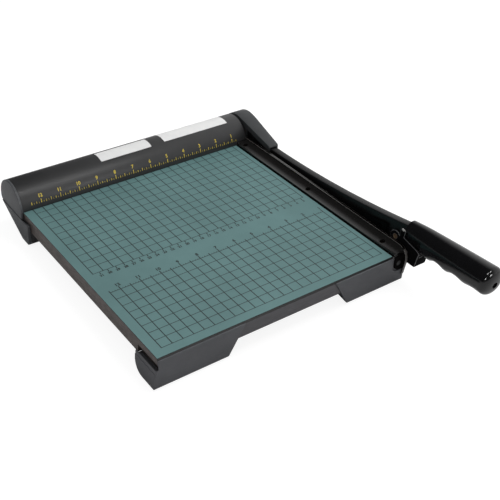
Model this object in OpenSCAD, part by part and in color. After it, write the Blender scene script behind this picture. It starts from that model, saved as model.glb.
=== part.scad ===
// Paper trimmer with a swinging blade arm: board, rear hinge housing, finger guard and feet.
// Building frame: x = 0 is the cutting plane, y = 0 the front edge of the board, z = 0 the table.

/* [Board] */
// Width of the green cutting surface
board_w = 310; // [260:1:420]
// Depth of the cutting surface, front edge to fence
cut_l = 301.5; // [260:0.5:420]
// Thickness of the wooden core
board_t = 18.2; // [14:0.1:22]
// Thickness of the printed sheet on the core
sheet_t = 0.8; // [0.5:0.1:1.5]
// Height of the cutting surface over the table
top_h = 38; // [36:0.5:46]
// How far the board reaches into the rear housing
board_tuck = 9.5; // [7:0.5:10.5]

/* [Cutting edge] */
// Width of the steel rail beside the cutting surface
rail_w = 16; // [13:0.5:20]
// Thickness of the rail's flange and web
rail_t = 3; // [2:0.1:3.5]
// Thickness of the fixed bed blade
bed_blade_t = 3.2; // [2.5:0.1:4]
// Thickness of the swinging blade
blade_t = 3; // [2.2:0.1:4]
// Gap between the two blades
shear_gap = 0.15; // [0.1:0.01:0.2]
// Depth of the blade's edge under the cutting surface at its ends
blade_dip = 12.5; // [10:0.5:14]
// How far the blade's edge bulges down between its ends
blade_bulge = 4.5; // [2:0.5:6]

/* [Housing] */
// Outer radius of the rear tube
tube_r = 29.2; // [26:0.1:34]
// How far the tube's axis lies under the cutting surface
axis_drop = 1.1; // [0:0.1:3]
// Wall of the housing
tube_wall = 3; // [2:0.1:3.5]
// Thickness of the end cap
cap_t = 3.2; // [2:0.1:5]
// How far the housing's foot stands in front of the fence
toe_reach = 17; // [12:0.5:20]

/* [Arm] */
// Thickness of the arm
arm_t = 10; // [8:0.5:12]
// Rise of the arm's top from the hub to the grip
arm_rise = 22; // [14:0.5:26]
// Height of the arm at the hub
arm_h = 20; // [16:0.5:22]
// Height of the arm at the grip
arm_front_h = 25; // [21:0.5:27]
// Outer radius of the hub cover
hub_r = 29.5; // [26:0.1:33]
// Reach of the hub cover in front of the axis
hub_reach = 75; // [60:1:90]
// Radius of the pivot shaft
shaft_r = 6; // [5:0.1:7]

/* [Grip] */
// Length of the grip
grip_l = 121; // [100:0.5:140]
// Radius of the grip at its full part
grip_r = 16.9; // [15:0.1:18]
// Radius of the grip at its rear end
grip_neck_r = 15.8; // [14.5:0.1:16.5]
// Depth of the first finger groove
groove_d = 7.4; // [3:0.1:8]

/* [Guard and feet] */
// Height of the finger guard over the cutting surface
guard_h = 8; // [6:0.5:12]
// Gap for the paper under the guard
guard_gap = 1.2; // [0.8:0.1:2]
// Thickness of the guard's upright plate
guard_t = 3.4; // [2.5:0.1:4]
// Length of each front foot along the front edge, at its top
foot_w = 104; // [80:1:120]
// Depth of each front foot under the board
foot_l = 38; // [30:1:48]
// Wall of the moulded feet
foot_wall = 2.5; // [1.8:0.1:3]
// Height of the rubber pads under the plastic
pad_out = 1.9; // [1:0.1:2.4]

/* [Hidden] */
$fn = 48;

// Clearances and overruns
gap = 0.3;
fit_gap = 0.05;
run_gap = 0.04;
over = 1;

// Levels and lines of the bed
board_z = top_h - sheet_t - board_t;
board_l = cut_l + board_tuck;
bed_w = rail_w + bed_blade_t;
board_x = -bed_w - board_w;
core_x = -bed_blade_t - rail_t;
front_ease = 1.5;
lip_rabbet = 4;
lip_rabbet_rise = 4.5;
axis_y = cut_l + tube_r;
axis_z = top_h - axis_drop;

// Screws
screw_r = 2;
screw_head_r = 3.8;
screw_head_h = 2.2;
rail_screw_l = 13;
bed_screw_l = 15;
foot_screw_l = 15;
rail_screw_shares = [0.088, 0.53, 0.965];
bed_screw_shares = [0.14, 0.3, 0.46, 0.68, 0.93];
rail_screw_share = 0.52;
bed_screw_share = 0.52;
rail_screw_x = -bed_blade_t - rail_w * rail_screw_share;
bed_screw_z = top_h - (top_h - board_z) * bed_screw_share;

// Finger guard
guard_off = 0.8;
guard_base_t = 1.3;
guard_edge_gap = 1.7;
guard_cove_r = 8;
guard_nose = 5.3;
guard_nose_r = 19;
guard_leg_t = 7.5;
guard_leg_gap = 0.05;
guard_leg_taper = 2.4;
guard_leg_round_share = 0.8;
guard_tab_t = 1.5;
guard_leg_drop = 28;
guard_tongue_w = 10;
guard_tongue_t = 3;
guard_tab_l = 12;
guard_hole_r = 3.1;
guard_x1 = -guard_off;
guard_x0 = -bed_w + guard_edge_gap;
guard_z = top_h + guard_gap;
guard_top = top_h + guard_h;
guard_y1 = cut_l - gap;
tongue_x = guard_x0 + 2 * gap;
tongue_y = cut_l + board_tuck / 2;

// Front feet
foot_front_t = 1.8;
foot_slant_share = 0.19;
foot_shelf_t = 2.6;
lip_out = 6.3;
lip_flare = 3;
lip_step = 0.5;
lip_t = 1.2;
lip_drop = 13.5;
lip_band = 5;
foot_round = 17;
foot_edge_r = 2;
foot_top_gap = 1.6;
pocket_w = 19;
pocket_r = 8;
pocket_h = 21;
foot_cut_gap = 0.5;
foot_rib_t = 2;
foot_rib_share = 0.32;
foot_screw_share = 0.22;
foot_screw_depth_share = 0.6;
foot_pad_share = 0.42;
foot_pad_depth_share = 0.38;
pad_r = 7;
pad_t = 3;
foot_z = pad_out;
foot_corner_r = min(foot_round, board_z - foot_z);
foot_y0 = -foot_front_t;

// Rear housing
toe_top_drop = 8.6;
rear_drop = 5.5;
toe_edge_r = 3;
heel_back = 18;
heel_r = 7;
rear_corner_r = 5;
shelf_t = 3;
housing_x1 = -2.6;
housing_x0 = board_x - gap;
toe_y = cut_l - toe_reach;
cap_lap = 6;
cap_step = 1;
housing_screw_shares = [0.12, 0.5, 0.84];
housing_screw_share = 0.2;

// Hinge hardware
plate_t = 5;
anchor_t = 4;
anchor_x = -150;
bracket_x1 = -3.6;
flange_l = 22;
flange_t = 3;
flange_w = 16;
flange_screw_shares = [0.32, 0.74];
bush_wall = 2;
bush_flange_t = 1;
bush_flange_r = 9.6;
collar_r = 11;
shaft_tail = 5;
washer_t = 1.5;
nut_t = 4.5;
nut_r = 9;
shaft_out = 0.4;
pin_r = 1.5;
pin_off = 8.6;
pin_l = 9;

// Torsion spring
wire_r = 1.3;
coil_r = 11.2;
coil_turns = 22;
coil_pitch = 4.6;
spring_tail = 7;
drive_t = 8;
drive_r = 13.4;
drive_slot = 84;

// Arm, blade and grip
arm_x0 = shear_gap + blade_t + shear_gap;
arm_x1 = arm_x0 + arm_t;
arm_mid = (arm_x0 + arm_x1) / 2;
arm_lift = 11;
arm_z = axis_z + arm_lift;
boss_r = 22;
grip_y = 4.5;
arm_y1 = axis_y - hub_reach;
arm_run = arm_y1 - grip_y;
tang_l = 78;
tang_h = 12;
blade_y0 = -1.5;
blade_tail = 4;
blade_y1 = cut_l + blade_tail;
blade_notch_rise = 1.5;
blade_top_gap = 9;
blade_bevel = 5;
blade_land = 0.3;
blade_screw_drop = 14;
blade_screw_l = 11;
blade_screw_shares = [0.16, 0.36, 0.56, 0.76, 0.93];
cover_wall = 2.2;
cover_lift = 3.6;
cover_x0 = 1.2;
cover_lip = 8;
cover_front_x = arm_x1 + gap + cover_wall;
cover_side_x = arm_x1 + washer_t + nut_t + shaft_out + gap + cover_wall;
cover_flat = 14;
cover_screw_share = 0.55;
cover_screw_y = axis_y - hub_reach * cover_screw_share;
grip_slope = 0.05;
grip_lift = 21;
grip_mid_z = top_h + grip_lift;
grip_dome = 16.4;
grip_oval_share = 0.97;
grip_full_share = 0.25;
grip_neck_oval_share = 0.73;
grip_relief_lift = 7.8;
grip_end_share = 0.002;
groove_pitch = 26.4;
groove_first = 49.8;
groove_shares = [1, 0.75, 0.55];
groove_side_share = 0.35;
grip_screw_r = 3;
grip_screw_l = 30;
grip_seat_t = 15;

// Latch
latch_y = 19.2;
latch_lift = 10.6;
latch_z = top_h + latch_lift;
latch_pin_r = 3;
latch_head_r = 5;
latch_t = 2.3;
latch_x0 = 0.3;
latch_disc_r = 7.5;
latch_w = 17.7;
latch_front = 18.8;
latch_toe = 15.2;
latch_shoulder = 5.5;
latch_drop = 12.5;
latch_bottom = top_h - latch_drop;
latch_flange_rise = 1.4;
latch_flange_top = top_h + latch_flange_rise;
latch_nose_r = 1.6;
latch_shoulder_r = 3;
latch_nose_drop = 2.6;
latch_blade_gap = 0.8;
latch_waist_drop = 8;
latch_tab_shares = [[-0.8, 0.67], [-0.96, 1.97], [-1.91, 1.76], [-1.7, 0.66]];
latch_neck_shares = [-0.67, -0.88];
latch_room = 4;
latch_head_room = 17;
strike_r = 2.5;
strike_y = 24;
strike_drop = 5;
strike_z = board_z - strike_drop;
strike_sink = 12;
strike_boss = 6;
strike_clear = 0.6;
hook_w = 6;
hook_reach = 3.5;
hook_t = 4;
latch_coil_r = 3.9;
latch_wire_r = 0.5;
latch_coil_turns = 2.5;
latch_coil_pitch = 1.5;

// Overall box, for the origin at the middle of the footprint
x_low = board_x - lip_out;
x_high = max(cover_side_x, arm_mid + grip_r * grip_oval_share);
y_low = grip_y - grip_l;
y_high = axis_y + max(tube_r, hub_r);

// Helpers for outlines
function unit(v) = v / norm(v);
function arc_pts(c, r, a0, a1, n) =
    [for (i = [0:n]) let (a = a0 + (a1 - a0) * i / n) c + r * [cos(a), sin(a)]];
function turn(d) = d > 180 ? d - 360 : d < -180 ? d + 360 : d;
function corner(a, b, c, r, n) =
    let (u = unit(a - b), w = unit(c - b), half = acos(u * w) / 2, mid = b + unit(u + w) * r / sin(half),
         s = b + u * r / tan(half) - mid, e = b + w * r / tan(half) - mid,
         a0 = atan2(s[1], s[0]), sweep = turn(atan2(e[1], e[0]) - a0))
    r <= 0 ? [b] : arc_pts(mid, r, a0, a0 + sweep, n);
function rounded(p, radii, n = 5) =
    [for (i = [0:len(p) - 1]) each corner(p[(i + len(p) - 1) % len(p)], p[i], p[(i + 1) % len(p)], radii[i], n)];
function tangent(c, r, p, side) =
    let (d = p - c, a = atan2(d[1], d[0]), b = acos(r / norm(d))) c + r * [cos(a + side * b), sin(a + side * b)];

module part() { translate([-(x_low + x_high) / 2, -(y_low + y_high) / 2, 0]) children(); }
module along_x(x0, l) { translate([x0, 0, 0]) rotate([90, 0, 90]) linear_extrude(l) children(); }
module along_y(y0, l) { translate([0, y0 + l, 0]) rotate([90, 0, 0]) linear_extrude(l) children(); }
module rod_x(x0, l, y, z, r) { translate([x0, y, z]) rotate([0, 90, 0]) cylinder(h = l, r = r); }
module box(a, b) { translate(a) cube(b - a); }

// Countersunk wood screw, head top at the origin, pointing down
module flat_screw(l) {
    translate([0, 0, -screw_head_h]) cylinder(h = screw_head_h, r1 = screw_r, r2 = screw_head_r);
    translate([0, 0, -l]) cylinder(h = l - screw_head_h / 2, r = screw_r);
}
module flat_screw_cut(l) {
    translate([0, 0, -screw_head_h]) cylinder(h = screw_head_h, r1 = screw_r + fit_gap, r2 = screw_head_r + fit_gap);
    cylinder(h = over, r = screw_head_r + fit_gap);
    translate([0, 0, -l - fit_gap]) cylinder(h = l, r = screw_r + fit_gap);
}
// Round-headed screw, head underside at the origin, pointing up
module round_screw(l) {
    cylinder(h = l, r = screw_r);
    translate([0, 0, -screw_head_h])
        cylinder(h = screw_head_h, r1 = screw_head_r - screw_head_h / 2, r2 = screw_head_r);
}

// Places of the screws
module at_rail_screws() { for (s = rail_screw_shares) translate([rail_screw_x, s * cut_l, top_h]) children(); }
module at_bed_screws() {
    for (s = bed_screw_shares) translate([-fit_gap, s * cut_l, bed_screw_z]) rotate([0, 90, 0]) children();
}
pad_xs = [board_x + foot_w * foot_pad_share, -foot_cut_gap - foot_w * foot_pad_share];
foot_screw_y = foot_l * foot_screw_depth_share;
foot_screw_off = pad_r + foot_rib_t + screw_head_r + gap;
foot_screw_xs = [pad_xs[0] - foot_screw_off, pad_xs[0] + foot_w * foot_screw_share,
                 pad_xs[1] - foot_w * foot_screw_share, pad_xs[1] + foot_screw_off];
foot_rib_xs = [pad_xs[0], pad_xs[0] + foot_w * foot_rib_share, pad_xs[1], pad_xs[1] - foot_w * foot_rib_share];
foot_floor = board_z - foot_shelf_t;
module at_foot_screws() { for (x = foot_screw_xs) translate([x, foot_screw_y, foot_floor]) children(); }
housing_screw_y = cut_l - toe_reach * housing_screw_share;
module at_housing_screws() {
    for (s = housing_screw_shares) translate([board_x + s * board_w, housing_screw_y, board_z - shelf_t]) children();
}
module at_tongue_screw() {
    translate([tongue_x + guard_tongue_w / 2, tongue_y, guard_z + guard_tongue_t]) children();
}

// Board
module board_core() {
    part() color("#4c4846") difference() {
        along_x(board_x, core_x - board_x) polygon([[0, board_z], [board_l, board_z], [board_l, top_h - sheet_t],
            [front_ease, top_h - sheet_t], [0, top_h - sheet_t - front_ease]]);
        box([board_x - over, -over, board_z - over],
            [board_x + lip_rabbet, foot_l, top_h - lip_drop + lip_rabbet_rise]);
        box([-bed_w, -over, top_h - rail_t], [over, board_l + over, top_h + over]);
        at_rail_screws() flat_screw_cut(rail_screw_l);
        at_bed_screws() flat_screw_cut(bed_screw_l);
        at_foot_screws() cylinder(h = foot_screw_l + fit_gap, r = screw_r + fit_gap);
        at_housing_screws() cylinder(h = foot_screw_l + fit_gap, r = screw_r + fit_gap);
        at_tongue_screw() flat_screw_cut(rail_screw_l);
        at_tab_screw() flat_screw_cut(rail_screw_l);
    }
}
module grid_sheet() {
    part() color("#5f8784") box([board_x, front_ease, top_h - sheet_t], [-bed_w, board_l, top_h]);
}

// Steel rail that carries the bed blade
module ledger_rail() {
    part() color("#1c1c1e") difference() {
        union() {
            box([-bed_w, 0, top_h - rail_t], [-bed_blade_t, board_l, top_h]);
            box([core_x, 0, board_z], [-bed_blade_t, board_l, top_h]);
        }
        at_rail_screws() flat_screw_cut(rail_screw_l);
        at_bed_screws() flat_screw_cut(bed_screw_l);
        at_tongue_screw() flat_screw_cut(rail_screw_l);
    }
}
module rail_screws() { part() color("#8a8478") at_rail_screws() flat_screw(rail_screw_l); }
module bed_blade() {
    part() color("#b4b6b8") difference() {
        box([-bed_blade_t, 0, board_z + over], [0, cut_l + over, top_h]);
        at_bed_screws() flat_screw_cut(bed_screw_l);
    }
}
module bed_blade_screws() { part() color("#8a8478") at_bed_screws() flat_screw(bed_screw_l); }

// Finger guard: a cove over the bed that turns down in front of the right foot
pocket_z = top_h - pocket_h;
guard_tab_x = guard_x1 - guard_t - guard_tab_l;
guard_tab_screw_x = guard_tab_x + guard_tab_l / 2;
guard_tab_screw_z = (pocket_z + top_h) / 2;
module at_tab_screw() {
    translate([guard_tab_screw_x, -guard_tab_t, guard_tab_screw_z]) rotate([90, 0, 0]) children();
}
module guard_plate_outline() {
    leg_z = top_h - guard_leg_drop;
    leg_t = guard_nose - foot_front_t - guard_leg_gap;
    leg_y = leg_t - guard_nose;
    polygon(rounded([[guard_y1, guard_z], [guard_y1, guard_top], [-guard_nose, guard_top],
                     [-guard_nose, board_z + guard_leg_t], [guard_leg_taper - guard_nose, leg_z], [leg_y, leg_z],
                     [leg_y, pocket_z + gap], [0, pocket_z + gap], [0, guard_z]],
                    [0, 0, guard_nose_r, guard_leg_taper, (leg_t - guard_leg_taper) * guard_leg_round_share,
                     0, 0, 0, 0], 8));
}
module finger_guard() {
    cove_z = guard_z + guard_base_t;
    cove_r = min(guard_cove_r, guard_top - cove_z - guard_t / 2);
    plate_x = guard_x1 - guard_t;
    part() color("#131314") difference() {
        union() {
            along_y(0, guard_y1) polygon(concat([[guard_x0, guard_z], [guard_x1 - gap, guard_z]],
                [[guard_x1 - gap, guard_top - guard_t / 2], [plate_x + gap, guard_top - guard_t / 2]],
                arc_pts([plate_x + gap - cove_r, cove_z + cove_r], cove_r, 0, -90, 6), [[guard_x0, cove_z]]));
            along_x(plate_x, guard_t) guard_plate_outline();
            along_y(-guard_tab_t, guard_tab_t) polygon(rounded(
                [[guard_tab_x, top_h - over], [guard_tab_x, pocket_z + over], [plate_x + gap, pocket_z + over],
                 [plate_x + gap, top_h - over]], [0, pocket_r, 0, 0]));
            box([tongue_x, guard_y1 - over, guard_z],
                [tongue_x + guard_tongue_w, board_l - gap, guard_z + guard_tongue_t]);
        }
        at_rail_screws() translate([0, 0, -over]) cylinder(h = guard_h + over, r = guard_hole_r);
        at_tongue_screw() flat_screw_cut(rail_screw_l);
        at_tab_screw() flat_screw_cut(rail_screw_l);
    }
}
module guard_screws() {
    part() color("#3a3a3c") {
        at_tongue_screw() flat_screw(rail_screw_l);
        at_tab_screw() flat_screw(rail_screw_l);
    }
}

// Front feet: moulded shells, open underneath, wrapped round the board's corners
module foot_front(x0, x1, slant) {
    lean = foot_w * foot_slant_share;
    top = top_h - foot_top_gap;
    along_y(foot_y0, foot_front_t) polygon(slant > 0
        ? [[x0, foot_z], [x1 - lean, foot_z], [x1, top], [x0, top]]
        : [[x0 + lean, foot_z], [x1, foot_z], [x1, top], [x0, top]]);
}
module foot_hollow(x0, x1) {
    inner_r = foot_corner_r - foot_wall;
    turn_y = foot_l - foot_corner_r;
    turn_z = foot_z + foot_corner_r;
    top = max(foot_floor, turn_z) + over;
    intersection() {
        box([x0, foot_y0 + foot_wall, foot_z - over], [x1, foot_l, foot_floor]);
        along_x(x0, x1 - x0) polygon(concat([[foot_y0, foot_z - over], [turn_y, foot_z - over]],
            arc_pts([turn_y, turn_z], inner_r, -90, 0, 6), [[foot_l - foot_wall, top], [foot_y0, top]]));
    }
}
module foot_shell(x0, x1, slant) {
    lean = foot_w * foot_slant_share * (foot_floor - foot_z) / (top_h - foot_z);
    toe = foot_w * foot_slant_share;
    outer = slant > 0
        ? [[x0, foot_z], [x1 - toe, foot_z], [x1 - toe + lean, board_z], [x0, board_z]]
        : [[x0 + toe, foot_z], [x1, foot_z], [x1, board_z], [x0 + toe - lean, board_z]];
    difference() {
        intersection() {
            along_y(foot_y0, foot_l + foot_front_t) polygon(outer);
            along_x(x0 - over, x1 - x0 + 2 * over) polygon(rounded(
                [[foot_y0, foot_z], [foot_l, foot_z], [foot_l, board_z], [foot_y0, board_z]],
                [0, foot_corner_r, 0, 0]));
        }
        difference() {
            foot_hollow(min(outer[0][0], outer[3][0]) + foot_wall, max(outer[1][0], outer[2][0]) - foot_wall - lean);
            for (x = foot_rib_xs) box([x - foot_rib_t / 2, 0, foot_z], [x + foot_rib_t / 2, foot_l, foot_floor]);
            at_pads() translate([0, 0, foot_z]) cylinder(h = board_z - foot_z, r = pad_r + foot_rib_t);
            at_foot_screws() cylinder(h = over, r = screw_r);
        }
    }
}
foot_pad_y = foot_l * foot_pad_depth_share;
rear_pad_xs = [board_x + pad_r * 2, -bed_w - pad_r * 2];
rear_pad_r = 5;
rear_pad_share = 0.6;
rear_pad_y = toe_y + heel_back * rear_pad_share;
module at_pads() { for (x = pad_xs) translate([x, foot_pad_y, 0]) children(); }
module at_rear_pads() { for (x = rear_pad_xs) translate([x, rear_pad_y, 0]) children(); }
module foot_cuts() {
    at_foot_screws() translate([0, 0, -over]) cylinder(h = foot_screw_l, r = screw_r + fit_gap);
    at_pads() translate([0, 0, -over]) cylinder(h = pad_t + over, r = pad_r + fit_gap);
}
module front_left_foot() {
    x0 = board_x;
    lip_top = top_h - lip_drop;
    part() color("#4f5054") difference() {
        union() {
            foot_front(x0, x0 + foot_w, 1);
            foot_shell(x0, x0 + foot_w, 1);
            difference() {
                intersection() {
                    along_x(x0 - lip_out, lip_out + over) polygon(rounded(
                        [[foot_y0, foot_z], [foot_l, foot_z], [foot_l, lip_top], [foot_y0, lip_top]],
                        [0, foot_corner_r, foot_edge_r, 0]));
                    along_y(foot_y0, foot_l + foot_front_t) polygon(
                        [[x0 - lip_out, foot_z], [x0 - lip_out + lip_flare - lip_step, lip_top - lip_band],
                         [x0 - lip_out + lip_flare, lip_top - lip_band], [x0 - lip_out + lip_flare, lip_top],
                         [x0 + over, lip_top], [x0 + over, foot_z]]);
                }
                box([x0 - lip_out + lip_flare + lip_t, 0, foot_floor], [x0 + 2 * over, foot_l + over, top_h]);
                intersection() {
                    along_y(foot_wall, foot_l - 2 * foot_wall) polygon(
                        [[x0 - lip_out + foot_wall, foot_z - over],
                         [x0 - lip_out + lip_flare + foot_wall, foot_floor - foot_shelf_t],
                         [x0 + 2 * over, foot_floor - foot_shelf_t], [x0 + 2 * over, foot_z - over]]);
                    foot_hollow(x0 - lip_out, x0 + 2 * over);
                }
            }
        }
        foot_cuts();
    }
}
module front_right_foot() {
    x1 = -foot_cut_gap;
    part() color("#4f5054") difference() {
        union() {
            foot_front(x1 - foot_w, x1, -1);
            foot_shell(x1 - foot_w, x1, -1);
            box([x1 - strike_sink, strike_y - strike_boss, max(foot_z, strike_z - strike_boss)],
                [x1, strike_y + strike_boss, foot_floor + over / 2]);
        }
        along_y(foot_y0 - over, foot_front_t + over) polygon(rounded(
            [[x1 - pocket_w, top_h], [x1 - pocket_w, pocket_z], [x1 + over, pocket_z], [x1 + over, top_h]],
            [0, pocket_r, 0, 0]));
        foot_cuts();
        rod_x(-strike_sink, strike_sink + over, strike_y, strike_z, strike_r + fit_gap);
    }
}
module foot_screws() { part() color("#8a8478") at_foot_screws() round_screw(foot_screw_l); }

// Rear housing: a tube over a toe that grips the board's rear edge
module housing_outline(inset) {
    low = foot_z + inset;
    back = axis_y + tube_r - inset;
    intersection() {
        union() {
            translate([axis_y, axis_z]) circle(r = tube_r - inset, $fn = 96);
            translate([toe_y + inset, low]) square([axis_y - toe_y, board_z - inset - low]);
        }
        polygon(rounded([[toe_y + inset, low], [toe_y + heel_back - inset / 2, low],
                         [back, axis_z - rear_drop + inset / 2],
                         [back, axis_z + tube_r], [toe_y + inset, axis_z + tube_r]],
                        [toe_edge_r, heel_r, rear_corner_r, 0, 0], 6));
    }
}
module rear_housing() {
    part() color("#2c2c2e") difference() {
        along_x(housing_x0, housing_x1 - housing_x0) difference() {
            housing_outline(0);
            difference() {
                housing_outline(tube_wall);
                translate([toe_y, board_z - shelf_t]) square([toe_reach + 2 * tube_r, shelf_t]);
            }
            translate([toe_y - over, board_z]) square([board_l - toe_y + over + gap, top_h - board_z]);
        }
        box([tongue_x - gap, cut_l - over, top_h - over], [over, board_l + gap, guard_z + guard_tongue_t + gap]);
        at_housing_screws() translate([0, 0, -over]) cylinder(h = foot_screw_l, r = screw_r + fit_gap);
        at_bracket_screws() translate([0, 0, -flange_t - shelf_t - over])
            cylinder(h = shelf_t + 2 * over, r = screw_r + fit_gap);
        at_rear_pads() translate([0, 0, -over]) cylinder(h = pad_t + over, r = rear_pad_r + fit_gap);
    }
}
module cap_outline(inset) {
    housing_outline(inset);
    translate([toe_y + inset, board_z - tube_wall])
        square([axis_y - toe_y - inset, top_h - toe_top_drop - board_z + tube_wall - inset]);
}
module housing_end_cap() {
    part() color("#4a4a4b") {
        along_x(housing_x0 - cap_t, cap_t) cap_outline(0);
        along_x(housing_x0 - cap_t - cap_step, cap_step) intersection() {
            cap_outline(0);
            translate([toe_y, 0]) square([toe_reach + 2 * tube_r, top_h - toe_top_drop]);
        }
        along_x(housing_x0 - over, cap_lap + over) difference() {
            housing_outline(tube_wall + gap);
            housing_outline(2 * tube_wall);
            square([2 * axis_y, board_z + over]);
            translate([toe_y, board_z - shelf_t - gap])
                square([board_l - toe_y + 2 * gap, top_h - board_z + shelf_t + 2 * gap]);
        }
    }
}
module housing_screws() { part() color("#8a8478") at_housing_screws() round_screw(foot_screw_l); }

// Hinge bracket and spring anchor: plates that stand on the housing's shelf
flange_y = board_l + 2 * gap;
module at_bracket_screws() {
    for (x = [bracket_x1 - plate_t, anchor_x - anchor_t], s = flange_screw_shares)
        translate([x - s * flange_l, flange_y + flange_w / 2, board_z + flange_t]) children();
}
module bracket_outline() {
    difference() {
        housing_outline(tube_wall + gap);
        translate([toe_y - over, 0]) square([board_l - toe_y + over + 2 * gap, guard_z + guard_tongue_t + 2 * gap]);
        translate([toe_y - over, 0]) square([2 * tube_r + toe_reach, board_z]);
    }
}
module bracket(x1, t) {
    difference() {
        union() {
            along_x(x1 - t, t) bracket_outline();
            along_x(x1 - t - flange_l, flange_l + over) intersection() {
                bracket_outline();
                translate([flange_y, board_z]) square([flange_w, flange_t]);
            }
        }
        rod_x(x1 - t - over, t + 2 * over, axis_y, axis_z, shaft_r + bush_wall + fit_gap);
        at_bracket_screws() translate([0, 0, -flange_t - over])
            cylinder(h = flange_t + 2 * over, r = screw_r + fit_gap);
    }
}
module hinge_bracket() { part() color("#3a3a3c") bracket(bracket_x1, plate_t); }
module spring_anchor() {
    part() color("#3a3a3c") difference() {
        bracket(anchor_x, anchor_t);
        rod_x(anchor_x - spring_tail, spring_tail + over, axis_y, axis_z + coil_r, wire_r + fit_gap);
    }
}
module bracket_screws() {
    part() color("#8a8478") at_bracket_screws() rotate([180, 0, 0]) round_screw(flange_t + shelf_t + over);
}
module bush(x, t) {
    difference() {
        union() {
            rod_x(x - t, t, axis_y, axis_z, shaft_r + bush_wall);
            rod_x(x, bush_flange_t, axis_y, axis_z, bush_flange_r);
        }
        rod_x(x - t - over, t + bush_flange_t + 2 * over, axis_y, axis_z, shaft_r + run_gap);
    }
}
module hinge_bushes() {
    part() color("#b08a4a") {
        bush(bracket_x1, plate_t);
        bush(anchor_x, anchor_t);
    }
}

// Torsion spring: one unbroken wire with a straight tail at each end
coil_x0 = anchor_x + bush_flange_t + wire_r + gap;
coil_l = coil_turns * coil_pitch;
drive_x = coil_x0 + coil_l + wire_r + gap;
function coil_path(x0, y, z, r, turns, pitch, steps) =
    [for (i = [0:turns * steps]) [x0 + pitch * i / steps, y + r * sin(360 * i / steps), z + r * cos(360 * i / steps)]];
function ring_pts(p, t, up, r, sides) =
    let (a = unit(cross(t, up)), b = cross(unit(t), a))
    [for (k = [0:sides - 1]) p + r * (a * cos(360 * k / sides) + b * sin(360 * k / sides))];
module wire(path, up, r, sides) {
    n = len(path);
    tangents = [for (i = [0:n - 1]) path[min(i + 1, n - 1)] - path[max(i - 1, 0)]];
    pts = [for (i = [0:n - 1]) each ring_pts(path[i], tangents[i], up[i], r, sides)];
    body = [for (i = [0:n - 2], k = [0:sides - 1], h = [0, 1])
        let (a = i * sides + k, b = i * sides + (k + 1) % sides)
            h == 0 ? [a, b, a + sides] : [b, b + sides, a + sides]];
    ends = [[for (k = [0:sides - 1]) sides - 1 - k], [for (k = [0:sides - 1]) (n - 1) * sides + k]];
    polyhedron(points = pts, faces = concat(body, ends));
}
module torsion_spring() {
    coil = coil_path(coil_x0, axis_y, axis_z, coil_r, coil_turns, coil_pitch, 8);
    top = axis_z + coil_r;
    path = concat([[anchor_x - anchor_t + gap, axis_y, top], [coil_x0 - wire_r, axis_y, top]], coil,
                  [[coil_x0 + coil_l + wire_r, axis_y, top], [drive_x + spring_tail, axis_y, top]]);
    up = [for (p = path) [0, p[1] - axis_y, p[2] - axis_z]];
    echo(least_gap_between_curls = coil_pitch - 2 * wire_r);
    part() color("#77777a") wire(path, up, wire_r, 6);
}
module rubber_pads() {
    part() color("#1a1a1a") {
        at_pads() cylinder(h = pad_t, r = pad_r);
        at_rear_pads() cylinder(h = pad_t, r = rear_pad_r);
    }
}
module strike_pin() {
    part() color("#9a9a9c") rod_x(-strike_sink, strike_sink + latch_x0 + latch_w - gap, strike_y, strike_z, strike_r);
}

// Arm
function arm_top(y) = arm_z + arm_rise * pow((arm_y1 - y) / arm_run, 2);
function arm_low(y) = arm_top(y) - arm_h - (arm_front_h - arm_h) * (arm_y1 - y) / arm_run;
function grip_z(y) = grip_mid_z + grip_slope * (grip_y - y);
module arm() {
    steps = 14;
    ys = [for (i = [0:steps]) arm_y1 - arm_run * i / steps];
    tang_y = grip_y - tang_l;
    hub = [axis_y, axis_z];
    high = tangent(hub, boss_r, [arm_y1, arm_z], -1);
    low = tangent(hub, boss_r, [arm_y1, arm_z - arm_h], 1);
    part() color("#262628") difference() {
        along_x(arm_x0, arm_t) polygon(concat([for (y = ys) [y, arm_top(y)]],
            [[grip_y, grip_z(grip_y) + tang_h / 2], [tang_y, grip_z(tang_y) + tang_h / 2],
             [tang_y, grip_z(tang_y) - tang_h / 2], [grip_y, grip_z(grip_y) - tang_h / 2]],
            [for (i = [0:steps]) [ys[steps - i], arm_low(ys[steps - i])]],
            arc_pts(hub, boss_r, atan2(low[1] - hub[1], low[0] - hub[0]),
                    atan2(high[1] - hub[1], high[0] - hub[0]), 24)));
        rod_x(arm_x0 - over, arm_t + 2 * over, axis_y, axis_z, shaft_r + fit_gap);
        rod_x(arm_x0 - over, pin_l, axis_y, axis_z + pin_off, pin_r + fit_gap);
        rod_x(arm_x0 - over, arm_t + 2 * over, latch_y, latch_z, latch_pin_r + fit_gap);
        at_blade_screws() flat_screw_cut(blade_screw_l + blade_t);
        translate([arm_mid, tang_y, grip_z(tang_y)]) rotate([-90, 0, 0]) translate([0, 0, -over])
            cylinder(h = grip_screw_l, r = screw_r + fit_gap);
        rod_x(arm_x1 - arm_t / 2, arm_t, cover_screw_y, cover_screw_z, screw_r + fit_gap);
    }
}
cover_screw_z = axis_z;

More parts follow.
